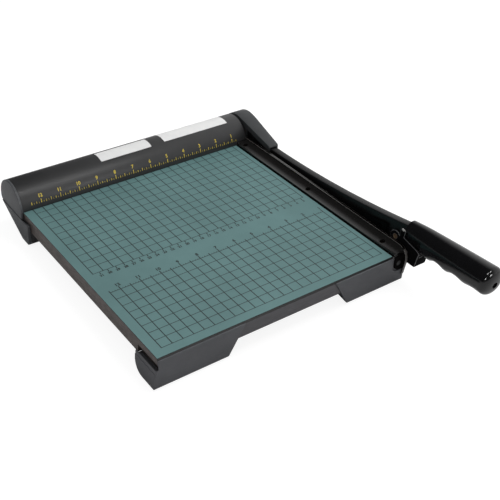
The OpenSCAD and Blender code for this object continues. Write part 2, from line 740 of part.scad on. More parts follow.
// Swinging blade with a ground bevel along its curved edge
function blade_low(y) = let (s = (y - blade_y0) / (blade_y1 - blade_y0))
    top_h - blade_dip - 4 * blade_bulge * s * (1 - s);
function blade_high(y) = arm_top(min(y, arm_y1)) - blade_top_gap;
module at_blade_screws() {
    for (s = blade_screw_shares) let (y = grip_y + s * arm_run)
        translate([shear_gap - fit_gap, y, arm_top(y) - blade_screw_drop]) rotate([0, -90, 0]) children();
}
module moving_blade() {
    steps = 20;
    ys = [for (i = [0:steps]) blade_y0 + (blade_y1 - blade_y0) * i / steps];
    x0 = shear_gap;
    x1 = shear_gap + blade_t;
    pts = [for (y = ys) each [[x0, y, blade_low(y)], [x0 + blade_land, y, blade_low(y)],
                              [x1, y, blade_low(y) + blade_bevel],
                              [x1, y, blade_high(y)], [x0, y, blade_high(y)]]];
    sides = [for (i = [0:steps - 1], k = [0:4]) let (a = i * 5 + k, b = i * 5 + (k + 1) % 5) [a, b, b + 5, a + 5]];
    part() color("#3b3b3e") difference() {
        polyhedron(points = pts, convexity = 4,
                   faces = concat(sides, [[4, 3, 2, 1, 0], [for (k = [0:4]) steps * 5 + k]]));
        box([x0 - over, blade_y0 - over, top_h + blade_notch_rise],
            [x1 + over, latch_y + latch_disc_r * 2, arm_z + arm_rise]);
        at_blade_screws() flat_screw_cut(blade_screw_l + blade_t);
    }
}
module blade_screws() { part() color("#8a8478") at_blade_screws() flat_screw(blade_screw_l + blade_t - over); }

// Hub cover: a teardrop shell over the pivot that narrows towards the arm
function hub_pts(inset) =
    let (c = [axis_y, axis_z], r = hub_r - inset, y = arm_y1 + inset,
         hi = [y, arm_z + cover_lift - inset], lo = [y, arm_z - arm_h - cover_lift + inset],
         t = tangent(c, r, hi, -1), b = tangent(c, r, lo, 1),
         a0 = atan2(t[1] - c[1], t[0] - c[0]), a1 = atan2(b[1] - c[1], b[0] - c[0]))
    concat(corner(lo, hi, t, cover_wall, 4), arc_pts(c, r, a0, a1 > 0 ? a1 - 360 : a1, 28), [lo]);
module cover_plan(inset) {
    x1 = cover_side_x - inset;
    linear_extrude(top_h + arm_rise + 2 * hub_r)
        polygon([[cover_x0 - over, arm_y1 - over], [cover_front_x - inset, arm_y1 - over],
                 [cover_front_x - inset, arm_y1],
                 [x1, axis_y - cover_flat], [x1, axis_y + 2 * hub_r], [cover_x0 - over, axis_y + 2 * hub_r]]);
}
function cover_top(y) =
    let (hi = [arm_y1, arm_z + cover_lift], t = tangent([axis_y, axis_z], hub_r, hi, -1))
    hi[1] + (t[1] - hi[1]) * (y - hi[0]) / (t[0] - hi[0]);
module hub_cover() {
    lip_y = blade_y1 + over;
    part() color("#46484a") difference() {
        intersection() {
            along_x(cover_x0, cover_side_x - cover_x0) polygon(hub_pts(0));
            cover_plan(0);
        }
        intersection() {
            along_x(arm_x0, cover_side_x) polygon(hub_pts(cover_wall));
            cover_plan(cover_wall);
        }
        along_x(cover_x0 - over, arm_x0 - cover_x0 + 2 * over) polygon(
            [[arm_y1 - over, 0], [lip_y, 0], [lip_y, cover_top(lip_y) - cover_lip],
             [arm_y1 - over, cover_top(arm_y1) - cover_lip]]);
        box([arm_x0 - fit_gap, arm_y1 - over, 0], [arm_x1 + gap, arm_y1 + cover_wall + over, arm_z + over]);
        rod_x(cover_x0 - over, arm_x0 - cover_x0 + 2 * over, axis_y, axis_z, collar_r + gap);
        rod_x(arm_x1, cover_side_x, cover_screw_y, cover_screw_z, screw_r + fit_gap);
    }
}
module cover_screw() {
    x = cover_front_x + (cover_side_x - cover_front_x) * (cover_screw_y - arm_y1) / (axis_y - cover_flat - arm_y1);
    part() color("#8a8478") translate([x + gap, cover_screw_y, cover_screw_z]) rotate([0, -90, 0])
        round_screw(x - arm_x1 + arm_t / 2 - gap);
}

// Shaft and its hardware
module pivot_shaft() {
    x0 = anchor_x - anchor_t - shaft_tail;
    collar_x = bracket_x1 + bush_flange_t + run_gap;
    part() color("#9a9a9c") difference() {
        union() {
            rod_x(x0, arm_x1 + washer_t + nut_t + shaft_out - x0, axis_y, axis_z, shaft_r);
            rod_x(collar_x, arm_x0 - collar_x, axis_y, axis_z, collar_r);
        }
        rod_x(arm_x0 - pin_l / 2, pin_l, axis_y, axis_z + pin_off, pin_r + fit_gap);
    }
}
module drive_pin() {
    part() color("#9a9a9c") rod_x(arm_x0 - pin_l / 2 + fit_gap, pin_l - 2 * fit_gap, axis_y, axis_z + pin_off, pin_r);
}
module hinge_washer() {
    part() color("#a5a5a8") difference() {
        rod_x(arm_x1, washer_t, axis_y, axis_z, nut_r + over);
        rod_x(arm_x1 - over, washer_t + 2 * over, axis_y, axis_z, shaft_r + fit_gap);
    }
}
module hinge_nut() {
    part() color("#a5a5a8") difference() {
        translate([arm_x1 + washer_t, axis_y, axis_z]) rotate([0, 90, 0]) cylinder(h = nut_t, r = nut_r, $fn = 6);
        rod_x(arm_x1, nut_t + 2 * over, axis_y, axis_z, shaft_r + fit_gap);
    }
}
// Collar that drives the spring: its slot lets the wire's tail stand still while the arm opens
module spring_collar() {
    part() color("#5a5a5d") difference() {
        rod_x(drive_x, drive_t, axis_y, axis_z, drive_r);
        rod_x(drive_x - over, drive_t + 2 * over, axis_y, axis_z, shaft_r + fit_gap);
        difference() {
            along_x(drive_x - over, drive_t + 2 * over) translate([axis_y, axis_z]) polygon(concat([[0, 0]],
                arc_pts([0, 0], drive_r + over, 90 - slot_lead, 90 - slot_lead + drive_slot, 8)));
            rod_x(drive_x - over, drive_t + 2 * over, axis_y, axis_z, coil_r - wire_r - gap);
        }
        translate([drive_x + drive_t / 2, axis_y, axis_z - drive_r - over])
            cylinder(h = drive_r, r = screw_r + fit_gap);
    }
}
slot_lead = asin((wire_r + gap) / coil_r);
module collar_set_screw() {
    part() color("#5a5a5d") translate([drive_x + drive_t / 2, axis_y, axis_z - drive_r])
        cylinder(h = drive_r - shaft_r - fit_gap, r = screw_r);
}

// Grip: round sections along a rising line, grooved underneath for the fingers
function grip_half(y) = let (s = (grip_y - y) / grip_l, d = (grip_l - grip_dome) / grip_l)
    s < d ? grip_neck_r + (grip_r - grip_neck_r) * sin(90 * min(1, s / (d * grip_full_share)))
          : grip_r * sqrt(max(grip_end_share, 1 - pow((s - d) / (1 - d), 2)));
function groove(y) = let (s = (grip_y - y - groove_first) / groove_pitch + 1 / 2)
    s < 0 || s >= len(groove_shares) || grip_y - y > grip_l - grip_dome ? 0
    : groove_d * groove_shares[floor(s)] * (1 - cos(360 * s)) / 2;
function grip_wide(y) = grip_neck_oval_share
    + (grip_oval_share - grip_neck_oval_share) * sin(90 * (grip_y - y) / grip_l);
module handle_grip() {
    rings = 44;
    sides = 24;
    dome_rings = 8;
    straight_rings = rings - dome_rings;
    ys = [for (i = [0:rings]) grip_y - (i < straight_rings ? (grip_l - grip_dome) * i / straight_rings
        : grip_l - grip_dome * (1 - sin(90 * (i - straight_rings) / dome_rings)))];
    pts = [for (y = ys) let (r = grip_half(y), g = min(groove(y), r / 2)) for (k = [0:sides - 1])
        let (a = 360 * k / sides, d = pow(max(0, -sin(a)), 2) * g)
            [arm_mid + (r - groove_side_share * d) * cos(a) * grip_wide(y), y, grip_z(y) + (r - d) * sin(a)]];
    body = [for (i = [0:rings - 1], k = [0:sides - 1], h = [0, 1])
        let (a = i * sides + k, b = i * sides + (k + 1) % sides)
            h == 0 ? [a, a + sides, b] : [b, a + sides, b + sides]];
    tang_y = grip_y - tang_l;
    part() color("#0e0e0f") difference() {
        polyhedron(points = pts, faces = concat(body,
            [[for (k = [0:sides - 1]) k], [for (k = [0:sides - 1]) rings * sides + sides - 1 - k]]));
        along_x(arm_x0 - fit_gap, arm_t + 2 * fit_gap) polygon([[grip_y + over, grip_z(grip_y) - tang_h / 2 - fit_gap],
            [grip_y + over, grip_z(grip_y) + tang_h / 2 + fit_gap],
            [tang_y - fit_gap, grip_z(tang_y) + tang_h / 2 + fit_gap],
            [tang_y - fit_gap, grip_z(tang_y) - tang_h / 2 - fit_gap]]);
        box([arm_mid - 2 * grip_r, -latch_front - latch_room, 0],
            [arm_x0 - fit_gap, grip_y + over, latch_z + latch_head_room]);
        box([arm_mid - 2 * grip_r, -latch_front - latch_room, 0],
            [arm_mid + 2 * grip_r, grip_y + over, top_h + grip_relief_lift]);
        translate([arm_mid, y_low - over, grip_z(tang_y)]) rotate([-90, 0, 0]) {
            cylinder(h = grip_l - tang_l - grip_seat_t + over, r = grip_screw_r + over);
            cylinder(h = grip_l, r = screw_r + fit_gap);
        }
    }
}
module handle_screw() {
    tang_y = grip_y - tang_l;
    part() color("#8a8478") translate([arm_mid, tang_y - grip_seat_t, grip_z(tang_y)]) rotate([-90, 0, 0])
        translate([0, 0, -fit_gap]) round_screw(grip_seat_t + grip_screw_l - 2 * over);
}

// Latch: a bent plate that turns on a shoulder bolt through the arm
latch_coil_x = arm_x1 + 2 * gap + latch_t + latch_wire_r;
latch_coil_l = latch_coil_turns * latch_coil_pitch;
module latch_pivot() {
    head_x = latch_coil_x + latch_coil_l + latch_wire_r + gap;
    part() color("#8b6f56") {
        rod_x(shear_gap, head_x - shear_gap, latch_y, latch_z, latch_pin_r);
        rod_x(head_x, latch_t / 2, latch_y, latch_z, latch_head_r);
    }
}
module latch_left_outline() {
    pin = [latch_y, latch_z];
    y1 = -latch_front;
    y2 = blade_y0 - latch_blade_gap;
    translate(pin) circle(r = latch_disc_r);
    polygon(rounded(concat([for (p = latch_tab_shares) pin + latch_disc_r * p],
                           [[y1 + latch_shoulder, latch_z], [y1, latch_z - latch_nose_drop], [-latch_toe, latch_bottom],
                            [y2, latch_bottom], [y2, latch_z - latch_waist_drop],
                            pin + latch_disc_r * latch_neck_shares]),
                    [0, over / 2, over / 2, latch_nose_r, latch_shoulder_r, latch_nose_r, over, latch_nose_r,
                     latch_nose_r, 0], 4));
}
function latch_front_y(z) =
    -latch_toe - (latch_front - latch_toe) * (z - latch_bottom) / (latch_z - latch_nose_drop - latch_bottom);
module latch_right_outline() {
    y1 = latch_front_y(latch_flange_top);
    shank_y = strike_y - strike_r - strike_clear;
    tooth_z = strike_z - strike_r - strike_clear;
    translate([latch_y, latch_z]) circle(r = latch_disc_r);
    polygon([[-latch_toe, latch_bottom], [y1, latch_flange_top], [grip_y, latch_flange_top],
             [latch_y - latch_disc_r, latch_z], [latch_y, latch_z - latch_disc_r],
             [grip_y + over, latch_z - 2 * latch_disc_r],
             [latch_disc_r - latch_toe, latch_bottom]]);
    polygon(rounded([[latch_y + latch_disc_r, latch_z], [latch_y - latch_disc_r, latch_z],
                     [shank_y - hook_w, strike_z],
                     [shank_y - hook_w, tooth_z - hook_t], [strike_y - strike_r + hook_reach, tooth_z - hook_t / 2],
                     [strike_y - strike_r + hook_reach, tooth_z], [shank_y, tooth_z],
                     [shank_y, strike_z + 2 * strike_r]],
                    [0, 0, hook_w, hook_t / 2, over, 0, 0, hook_w], 4));
}
module latch_lever() {
    right_x = arm_x1 + gap;
    flange_y1 = latch_front_y(latch_flange_top);
    part() color("#1d1d1f") difference() {
        union() {
            along_x(latch_x0, latch_t) latch_left_outline();
            along_x(right_x, latch_t) latch_right_outline();
            along_x(latch_x0, latch_w) polygon([[-latch_toe, latch_bottom], [flange_y1, latch_flange_top],
                                                [flange_y1 + latch_t, latch_flange_top],
                                                [latch_t - latch_toe, latch_bottom]]);
        }
        rod_x(latch_x0 - over, latch_w + 2 * over, latch_y, latch_z, latch_pin_r + run_gap);
    }
}
module latch_spring() {
    path = coil_path(latch_coil_x, latch_y, latch_z, latch_coil_r, latch_coil_turns, latch_coil_pitch, 8);
    echo(least_gap_between_latch_curls = latch_coil_pitch - 2 * latch_wire_r);
    part() color("#77777a") wire(path, [for (p = path) [0, p[1] - latch_y, p[2] - latch_z]], latch_wire_r, 6);
}

board_core();
grid_sheet();
ledger_rail();
rail_screws();
bed_blade();
bed_blade_screws();
finger_guard();
guard_screws();
front_left_foot();
front_right_foot();
foot_screws();
rear_housing();
housing_end_cap();
housing_screws();
hinge_bracket();
spring_anchor();
bracket_screws();
hinge_bushes();
torsion_spring();
rubber_pads();
strike_pin();
arm();
moving_blade();
blade_screws();
hub_cover();
cover_screw();
pivot_shaft();
drive_pin();
hinge_washer();
hinge_nut();
spring_collar();
collar_set_screw();
handle_grip();
handle_screw();
latch_pivot();
latch_lever();
latch_spring();
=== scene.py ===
"""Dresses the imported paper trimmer: finishes, printed rulers, guard, grip, screws, light and camera."""

import logging
import math
from contextlib import contextmanager
from dataclasses import dataclass, field
from enum import Enum
from typing import Callable, Iterator, Sequence

import bmesh
import bpy
from mathutils import Matrix, Vector


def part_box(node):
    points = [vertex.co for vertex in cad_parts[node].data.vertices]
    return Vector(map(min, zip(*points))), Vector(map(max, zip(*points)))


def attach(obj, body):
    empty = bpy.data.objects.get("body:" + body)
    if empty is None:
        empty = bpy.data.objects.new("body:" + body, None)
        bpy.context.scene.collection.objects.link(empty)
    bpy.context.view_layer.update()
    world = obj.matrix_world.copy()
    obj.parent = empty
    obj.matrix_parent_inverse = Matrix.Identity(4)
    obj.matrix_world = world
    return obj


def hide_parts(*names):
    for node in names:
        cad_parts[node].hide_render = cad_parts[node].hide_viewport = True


Tree = bpy.types.NodeTree
Socket = bpy.types.NodeSocket
Piece = bpy.types.Object

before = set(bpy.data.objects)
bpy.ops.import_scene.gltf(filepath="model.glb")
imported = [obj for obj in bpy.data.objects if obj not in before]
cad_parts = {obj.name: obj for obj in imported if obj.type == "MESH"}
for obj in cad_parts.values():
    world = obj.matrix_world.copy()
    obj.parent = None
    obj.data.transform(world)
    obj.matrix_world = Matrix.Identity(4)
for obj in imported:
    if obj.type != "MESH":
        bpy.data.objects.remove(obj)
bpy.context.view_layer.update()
log = logging.getLogger("trimmer")
MM = 0.001
INCH = 25.4
# Points nearer than this, in metres, are one
WELD = 2e-6
# Edges that turn more than this, in degrees, are sharp
EDGE_ANGLE = 40.0
# Turns in radians, from upright
UPRIGHT = (0, 0, 0)
LEVEL = (math.pi / 2, 0, 0)
# The digits' height, as a share of the type's size
DIGIT_SHARE = 0.7
# The strokes' added weight, as a share of the digits' height
STROKE_SHARE = 0.06


class Body(Enum):
    """The bodies of the trimmer that pieces ride on."""

    BASE = "base"
    LEVER = "lever"
    LATCH = "latch"


class Pointing(Enum):
    """The way a screw's head looks."""

    UP = (0, 0, 1)
    DOWN = (0, 0, -1)
    LEFT = (-1, 0, 0)
    RIGHT = (1, 0, 0)


@dataclass(frozen=True)
class Datum:
    """The trimmer's own zero: x at the cutting line, y at the board's front edge, z at the table."""

    cut: float
    front: float

    def at(self, x: float, y: float, z: float) -> Vector:
        """Return a place in millimetres of the trimmer as a point of the frame."""
        return Vector((self.cut + x * MM, self.front + y * MM, z * MM))


DATUM = Datum(cut=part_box("bed_blade")[1].x, front=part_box("board_core")[0].y)
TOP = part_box("grid_sheet")[1].z / MM
AXIS = DATUM.at(0, 330.7, 36.9)
TUBE_R = 29.2


def linear(colour: str) -> tuple[float, float, float, float]:
    """Turn an sRGB hex colour into linear light.

    Args:
        colour: Six hex digits after a hash.

    Returns:
        Red, green, blue and alpha.
    """
    parts = [int(colour[i : i + 2], 16) / 255 for i in (1, 3, 5)]
    light = [p / 12.92 if p <= 0.04045 else ((p + 0.055) / 1.055) ** 2.4 for p in parts]
    return (light[0], light[1], light[2], 1.0)


def add_node(tree: Tree, kind: str, inputs: dict | None = None, **settings: object) -> bpy.types.Node:
    """Add a node with its settings, and link or set its inputs.

    Args:
        tree: The material's node tree.
        kind: The node's type name.
        inputs: Values or output sockets by the input's name or number.
        settings: Attributes of the node.

    Returns:
        The new node.
    """
    made = tree.nodes.new(kind)
    for name, value in settings.items():
        setattr(made, name, value)
    for key, value in (inputs or {}).items():
        if isinstance(value, Socket):
            tree.links.new(value, made.inputs[key])
        else:
            made.inputs[key].default_value = value
    return made


@dataclass(frozen=True)
class Finish:
    """A surface: its two close colours, sheen and fine relief, in real sizes.

    The patch is the size of the slow change between the two colours, and the grain that of the relief.
    """

    name: str
    slot: str
    colour: str
    shade: str
    roughness: float
    spread: float = 0.05
    patch_mm: float = 40.0
    grain_mm: float = 1.5
    depth_mm: float = 0.02
    metallic: float = 0.0
    ior: float = 1.5
    coat: float = 0.0
    specular: float = 0.5
    stretch: tuple[float, float, float] = (1.0, 1.0, 1.0)
    tone_span: tuple[float, float] = (0.35, 0.65)
    gloss_span: tuple[float, float] = (0.3, 0.7)
    smoothest: float = 0.02

    def place(self, tree: Tree) -> Socket:
        """Return the socket with the place on the piece, in metres."""
        return add_node(tree, "ShaderNodeTexCoord").outputs["Object"]

    def grain(self, tree: Tree, where: Socket) -> Socket:
        """Return the fine relief as a height from 0 to 1."""
        turned = add_node(tree, "ShaderNodeMapping", {"Vector": where, "Scale": self.stretch})
        noise = {"Vector": turned.outputs[0], "Scale": 1 / (self.grain_mm * MM), "Detail": 3.0}
        return add_node(tree, "ShaderNodeTexNoise", noise).outputs["Fac"]

    def tone(self, tree: Tree, where: Socket) -> Socket:
        """Return the colour with its slow change from place to place."""
        noise = {"Vector": where, "Scale": 1 / (self.patch_mm * MM), "Detail": 4.0, "Roughness": 0.6}
        patch = add_node(tree, "ShaderNodeTexNoise", noise)
        low, high = self.tone_span
        span = {"Value": patch.outputs["Fac"], "From Min": low, "From Max": high}
        amount = add_node(tree, "ShaderNodeMapRange", span)
        mixed = {0: amount.outputs[0], 6: linear(self.colour), 7: linear(self.shade)}
        return add_node(tree, "ShaderNodeMix", mixed, data_type="RGBA").outputs[2]

    def gloss(self, tree: Tree, height: Socket) -> Socket:
        """Return the roughness, which follows the fine relief."""
        low, high = self.gloss_span
        relief = {"Value": height, "From Min": low, "From Max": high}
        least = max(self.smoothest, self.roughness - self.spread)
        span = {"To Min": least, "To Max": self.roughness + self.spread}
        return add_node(tree, "ShaderNodeMapRange", relief | span).outputs[0]

    def material(self) -> bpy.types.Material:
        """Make the material, or return it if it is already made."""
        found = bpy.data.materials.get(self.name)
        if found:
            return found
        made = bpy.data.materials.new(self.name)
        made.use_nodes = True
        tree = made.node_tree
        tree.nodes.clear()
        where = self.place(tree)
        height = self.grain(tree, where)
        relief = {"Height": height, "Distance": self.depth_mm * MM, "Strength": 1.0}
        bump = add_node(tree, "ShaderNodeBump", relief)
        surface = {
            "Base Color": self.tone(tree, where),
            "Roughness": self.gloss(tree, height),
            "Normal": bump.outputs[0],
            "Metallic": self.metallic,
            "IOR": self.ior,
            "Specular IOR Level": self.specular,
            "Coat Weight": self.coat,
        }
        shader = add_node(tree, "ShaderNodeBsdfPrincipled", surface)
        add_node(tree, "ShaderNodeOutputMaterial", {"Surface": shader.outputs[0]})
        return made


@dataclass(frozen=True)
class PrintedLaminate(Finish):
    """Green laminate with a half-inch grid screened on it, open in the band between the rulers."""

    line: str = "#1c2626"
    edge: str = "#0e0f10"
    cell_mm: float = 12.7
    across_mm: float = 0.8
    along_mm: float = 1.1
    x_low: float = -317.5
    x_high: float = -25.4
    y_low: float = 12.5
    band_low: float = 114.1
    band_high: float = 152.2
    y_high: float = 305.0
    skin_mm: float = 0.1

    def between(self, tree: Tree, value: Socket, low: float, high: float) -> Socket:
        """Return 1 where a value in metres lies between two limits in millimetres, and 0 elsewhere."""
        limits = {0: value, 1: (low + high) / 2 * MM, 2: (high - low) / 2 * MM}
        return add_node(tree, "ShaderNodeMath", limits, operation="COMPARE").outputs[0]

    def tone(self, tree: Tree, where: Socket) -> Socket:
        """Return the green with the printed lines over it."""
        ground = super().tone(tree, where)
        zero = DATUM.at(0, self.y_low, 0)
        half_cell = (0.5, 0.5, 0.5)
        moved = add_node(tree, "ShaderNodeVectorMath", {0: where, 1: zero}, operation="SUBTRACT")
        cells = {0: moved.outputs[0], "Scale": 1 / (self.cell_mm * MM)}
        counted = add_node(tree, "ShaderNodeVectorMath", cells, operation="SCALE").outputs[0]
        shift = {0: counted, 1: half_cell}
        shifted = add_node(tree, "ShaderNodeVectorMath", shift, operation="ADD").outputs[0]
        part = add_node(tree, "ShaderNodeVectorMath", {0: shifted}, operation="FRACTION").outputs[0]
        centred = {0: part, 1: half_cell}
        off = add_node(tree, "ShaderNodeVectorMath", centred, operation="SUBTRACT").outputs[0]
        near = add_node(tree, "ShaderNodeVectorMath", {0: off}, operation="ABSOLUTE")
        split = add_node(tree, "ShaderNodeSeparateXYZ", {0: near.outputs[0]})
        place = add_node(tree, "ShaderNodeSeparateXYZ", {0: moved.outputs[0]})
        x, y = place.outputs[0], place.outputs[1]
        edge = self.along_mm / 2
        in_x = self.between(tree, x, self.x_low - edge, self.x_high + edge)
        front = self.between(tree, y, -edge, self.band_low - self.y_low + edge)
        rear = self.between(tree, y, self.band_high - self.y_low - edge, self.y_high - self.y_low)
        in_y = add_node(tree, "ShaderNodeMath", {0: front, 1: rear}, operation="MAXIMUM").outputs[0]
        upright = {0: split.outputs[0], 1: edge / self.cell_mm}
        level = {0: split.outputs[1], 1: self.across_mm / 2 / self.cell_mm}
        on_upright = add_node(tree, "ShaderNodeMath", upright, operation="LESS_THAN").outputs[0]
        on_level = add_node(tree, "ShaderNodeMath", level, operation="LESS_THAN").outputs[0]
        lines = {0: on_upright, 1: on_level}
        either = add_node(tree, "ShaderNodeMath", lines, operation="MAXIMUM").outputs[0]
        inside = add_node(tree, "ShaderNodeMath", {0: in_x, 1: in_y}, operation="MULTIPLY").outputs[0]
        ink = add_node(tree, "ShaderNodeMath", {0: either, 1: inside}, operation="MULTIPLY")
        mixed = {0: ink.outputs[0], 6: ground, 7: linear(self.line)}
        printed = add_node(tree, "ShaderNodeMix", mixed, data_type="RGBA").outputs[2]
        height = {0: place.outputs[2], 1: (TOP - self.skin_mm) * MM}
        under = add_node(tree, "ShaderNodeMath", height, operation="LESS_THAN")
        skinned = {0: under.outputs[0], 6: printed, 7: linear(self.edge)}
        return add_node(tree, "ShaderNodeMix", skinned, data_type="RGBA").outputs[2]


@dataclass(frozen=True)
class PrimedPlywood(Finish):
    """Stained plywood, its front edge primed grey, with painted shade in black along the eased top
    corner.
    """

    front: str = "#4b4a4e"
    front_shade: str = "#434245"
    # The painted shade's near-black colour on the eased corner, and how far down from the top it reaches
    corner: str = "#0c0c0d"
    corner_mm: float = 2.5
    depth_y_mm: float = 2.0

    def tone(self, tree: Tree, where: Socket) -> Socket:
        """Return the stain, and the primer over the front edge with painted shade along its top corner.
        """
        stain = super().tone(tree, where)
        noise = {"Vector": where, "Scale": 1 / (self.patch_mm * MM), "Detail": 4.0}
        patch = add_node(tree, "ShaderNodeTexNoise", noise)
        shades = {0: patch.outputs["Fac"], 6: linear(self.front), 7: linear(self.front_shade)}
        primer = add_node(tree, "ShaderNodeMix", shades, data_type="RGBA").outputs[2]
        place = add_node(tree, "ShaderNodeSeparateXYZ", {0: where})
        limit = DATUM.at(0, self.depth_y_mm, 0).y
        near = add_node(tree, "ShaderNodeMath", {0: place.outputs[1], 1: limit}, operation="LESS_THAN")
        # Painted shade: the top of the front edge turns near black, standing in for the shadow in the
        # groove before the sheet
        height = {0: place.outputs[2], 1: (TOP - self.corner_mm) * MM}
        upper = add_node(tree, "ShaderNodeMath", height, operation="GREATER_THAN")
        painted_corner_shade = {0: upper.outputs[0], 6: primer, 7: linear(self.corner)}
        face = add_node(tree, "ShaderNodeMix", painted_corner_shade, data_type="RGBA").outputs[2]
        mixed = {0: near.outputs[0], 6: stain, 7: face}
        return add_node(tree, "ShaderNodeMix", mixed, data_type="RGBA").outputs[2]


@dataclass(frozen=True)
class WornSteel(Finish):
    """Black steel whose finish is rubbed off round one place, where bare metal shows."""

    bare: str = "#c9c8c4"
    rubbed_at: tuple[float, float, float] = (1.5, 8.6, 64.0)
    rubbed_mm: float = 3.4
    ragged_mm: float = 1.2
    fade_mm: tuple[float, float] = (-0.3, 0.5)

    def tone(self, tree: Tree, where: Socket) -> Socket:
        """Return the black with the bare place in it."""
        ground = super().tone(tree, where)
        off = {0: where, 1: DATUM.at(*self.rubbed_at)}
        far = add_node(tree, "ShaderNodeVectorMath", off, operation="DISTANCE")
        noise = {"Vector": where, "Scale": 1 / (self.ragged_mm * MM), "Detail": 4.0}
        ragged = add_node(tree, "ShaderNodeTexNoise", noise)
        edge = {0: ragged.outputs["Fac"], 1: self.ragged_mm * MM, 2: far.outputs[1]}
        reach = add_node(tree, "ShaderNodeMath", edge, operation="MULTIPLY_ADD")
        inner, outer = [(self.rubbed_mm + fade) * MM for fade in self.fade_mm]
        span = {"Value": reach.outputs[0], "From Min": inner, "From Max": outer}
        amount = add_node(tree, "ShaderNodeMapRange", span | {"To Min": 1.0, "To Max": 0.0})
        mixed = {0: amount.outputs[0], 6: ground, 7: linear(self.bare)}
        return add_node(tree, "ShaderNodeMix", mixed, data_type="RGBA").outputs[2]


# Phenolic laminate with screened green ink: even colour, dull sheen, a hint of paper tooth
SHEET = PrintedLaminate(
    "printed_laminate", "printed_sheet", "#587a7a", "#527373",
    roughness=0.6, spread=0.04, patch_mm=60, grain_mm=0.9, depth_mm=0.008,
)
# Beech plywood, stained brown-black and sealed: fine streaks along the board, a greyer primed front edge,
# painted shade along its top corner
CORE = PrimedPlywood(
    "stained_plywood", "dark_wood", "#564e4b", "#47413e",
    roughness=0.5, spread=0.08, patch_mm=9, grain_mm=1.2, depth_mm=0.03, stretch=(0.06, 0.06, 1),
)
# Powder-coated steel, gloss black: slight orange peel that breaks up the highlights
POWDER = Finish(
    "powder_coated_steel", "black_steel", "#0d0b0a", "#090807",
    roughness=0.24, spread=0.03, patch_mm=30, grain_mm=2.2, depth_mm=0.003, coat=0.2, specular=0.6,
)
# The same coat painted paler as a highlight: a soft grey line along the ridge and down the strap's front
POWDER_HIGHLIGHT = Finish(
    "painted_powder_highlight", "", "#625f5d", "#524f4d",
    roughness=0.3, spread=0.04, patch_mm=12, grain_mm=1.2, depth_mm=0.003,
)
# The same coat as a shaded copy for the tab in the foot's pocket: dull and nearly without reflection,
# standing in for the shade there
POWDER_SHADED = Finish(
    "shaded_powder_coat", "", "#111010", "#0c0b0b",
    roughness=0.6, spread=0.04, patch_mm=12, grain_mm=1.2, depth_mm=0.003, ior=1.05,
)
# Powder-coated steel of the lever: the same black, a little softer than on the guard
ARM_COAT = Finish(
    "powder_coated_lever", "black_steel", "#0e0e0f", "#0a0a0b",
    roughness=0.3, spread=0.04, patch_mm=30, grain_mm=2.2, depth_mm=0.005, specular=0.3,
)
# Extruded aluminium, satin black enamel: soft wide highlight, faint drawing lines along the tube
TUBE = Finish(
    "satin_enamel", "tube_finish", "#29292a", "#232324",
    roughness=0.45, spread=0.05, patch_mm=50, grain_mm=0.8, depth_mm=0.004, stretch=(0.05, 1, 1),
)
# ABS moulded in a spark-eroded tool: matte, even grey, fine pebble
MOULDED = Finish(
    "moulded_abs", "foot_plastic", "#4c4d51", "#45464a",
    roughness=0.58, spread=0.05, patch_mm=35, grain_mm=0.9, depth_mm=0.04,
)
# The same ABS in the end cap's own mould: a slightly finer pebble
CAP = Finish(
    "moulded_cap", "foot_plastic", "#494b4e", "#404245",
    roughness=0.5, spread=0.05, patch_mm=20, grain_mm=0.9, depth_mm=0.03,
)
# Glass-filled nylon, moulded: matte dark grey, slightly cloudy
HUB = Finish(
    "moulded_nylon", "hub_plastic", "#333537", "#2c2e30",
    roughness=0.5, spread=0.06, patch_mm=24, grain_mm=1.0, depth_mm=0.03,
)
# PVC dipped and polished grip: deep black with sharp highlights
GRIP = Finish(
    "polished_pvc", "grip_plastic", "#0a0a0c", "#070708",
    roughness=0.15, spread=0.03, patch_mm=40, grain_mm=4.0, depth_mm=0.003, specular=0.45,
)
# Tool steel, blackened, ground and oiled: near black with straight grinding lines along the edge
BLADE = Finish(
    "ground_tool_steel", "blade_steel", "#1a1a1c", "#121214",
    roughness=0.34, spread=0.08, patch_mm=14, grain_mm=0.7, depth_mm=0.006, metallic=0.9,
    stretch=(1, 0.05, 1),
)
# Zinc-plated steel, yellowed and dulled by handling: small patches
ZINC = Finish(
    "zinc_plated_steel", "screw_steel", "#7d7466", "#5c554a",
    roughness=0.4, spread=0.1, patch_mm=3, grain_mm=0.6, depth_mm=0.01, metallic=1.0,
)
# Blackened steel screws in the blade: dead dull, as dark as the blade
BLADE_SCREW = Finish(
    "blackened_screw_steel", "screw_steel", "#080809", "#060606",
    roughness=0.7, spread=0.08, patch_mm=3, grain_mm=0.6, depth_mm=0.01, ior=1.05,
)
# Black oxide on steel: dark metal with a dull shine
BLACK_SCREW = Finish(
    "black_oxide_steel", "black_screw", "#1c1c1e", "#131315",
    roughness=0.35, spread=0.08, patch_mm=3, grain_mm=0.6, depth_mm=0.01, metallic=0.6,
)
# Ground shaft steel: bright, with rings from the grinding wheel
SHAFT = Finish(
    "ground_shaft_steel", "ground_steel", "#a2a3a6", "#8b8c90",
    roughness=0.25, spread=0.06, patch_mm=10, grain_mm=0.5, depth_mm=0.006, metallic=1.0,
    stretch=(1, 0.1, 0.1),
)
# Oil-tempered spring wire: blue-grey metal with a film of oil
WIRE = Finish(
    "oil_tempered_wire", "spring_steel", "#6b6c70", "#55565a",
    roughness=0.3, spread=0.08, patch_mm=6, grain_mm=0.6, depth_mm=0.008, metallic=1.0,
)
# Sintered bronze, sized: dull warm metal with fine pores
BRONZE = Finish(
    "sintered_bronze", "bushing_bronze", "#a8854c", "#8c6c3a",
    roughness=0.45, spread=0.1, patch_mm=4, grain_mm=0.4, depth_mm=0.03, metallic=1.0,
)
# Pressed steel, electro-coated black: flat low sheen
PRESSED = Finish(
    "electro_coated_steel", "bracket_steel", "#2b2b2d", "#232325",
    roughness=0.42, spread=0.06, patch_mm=15, grain_mm=1.0, depth_mm=0.01,
)
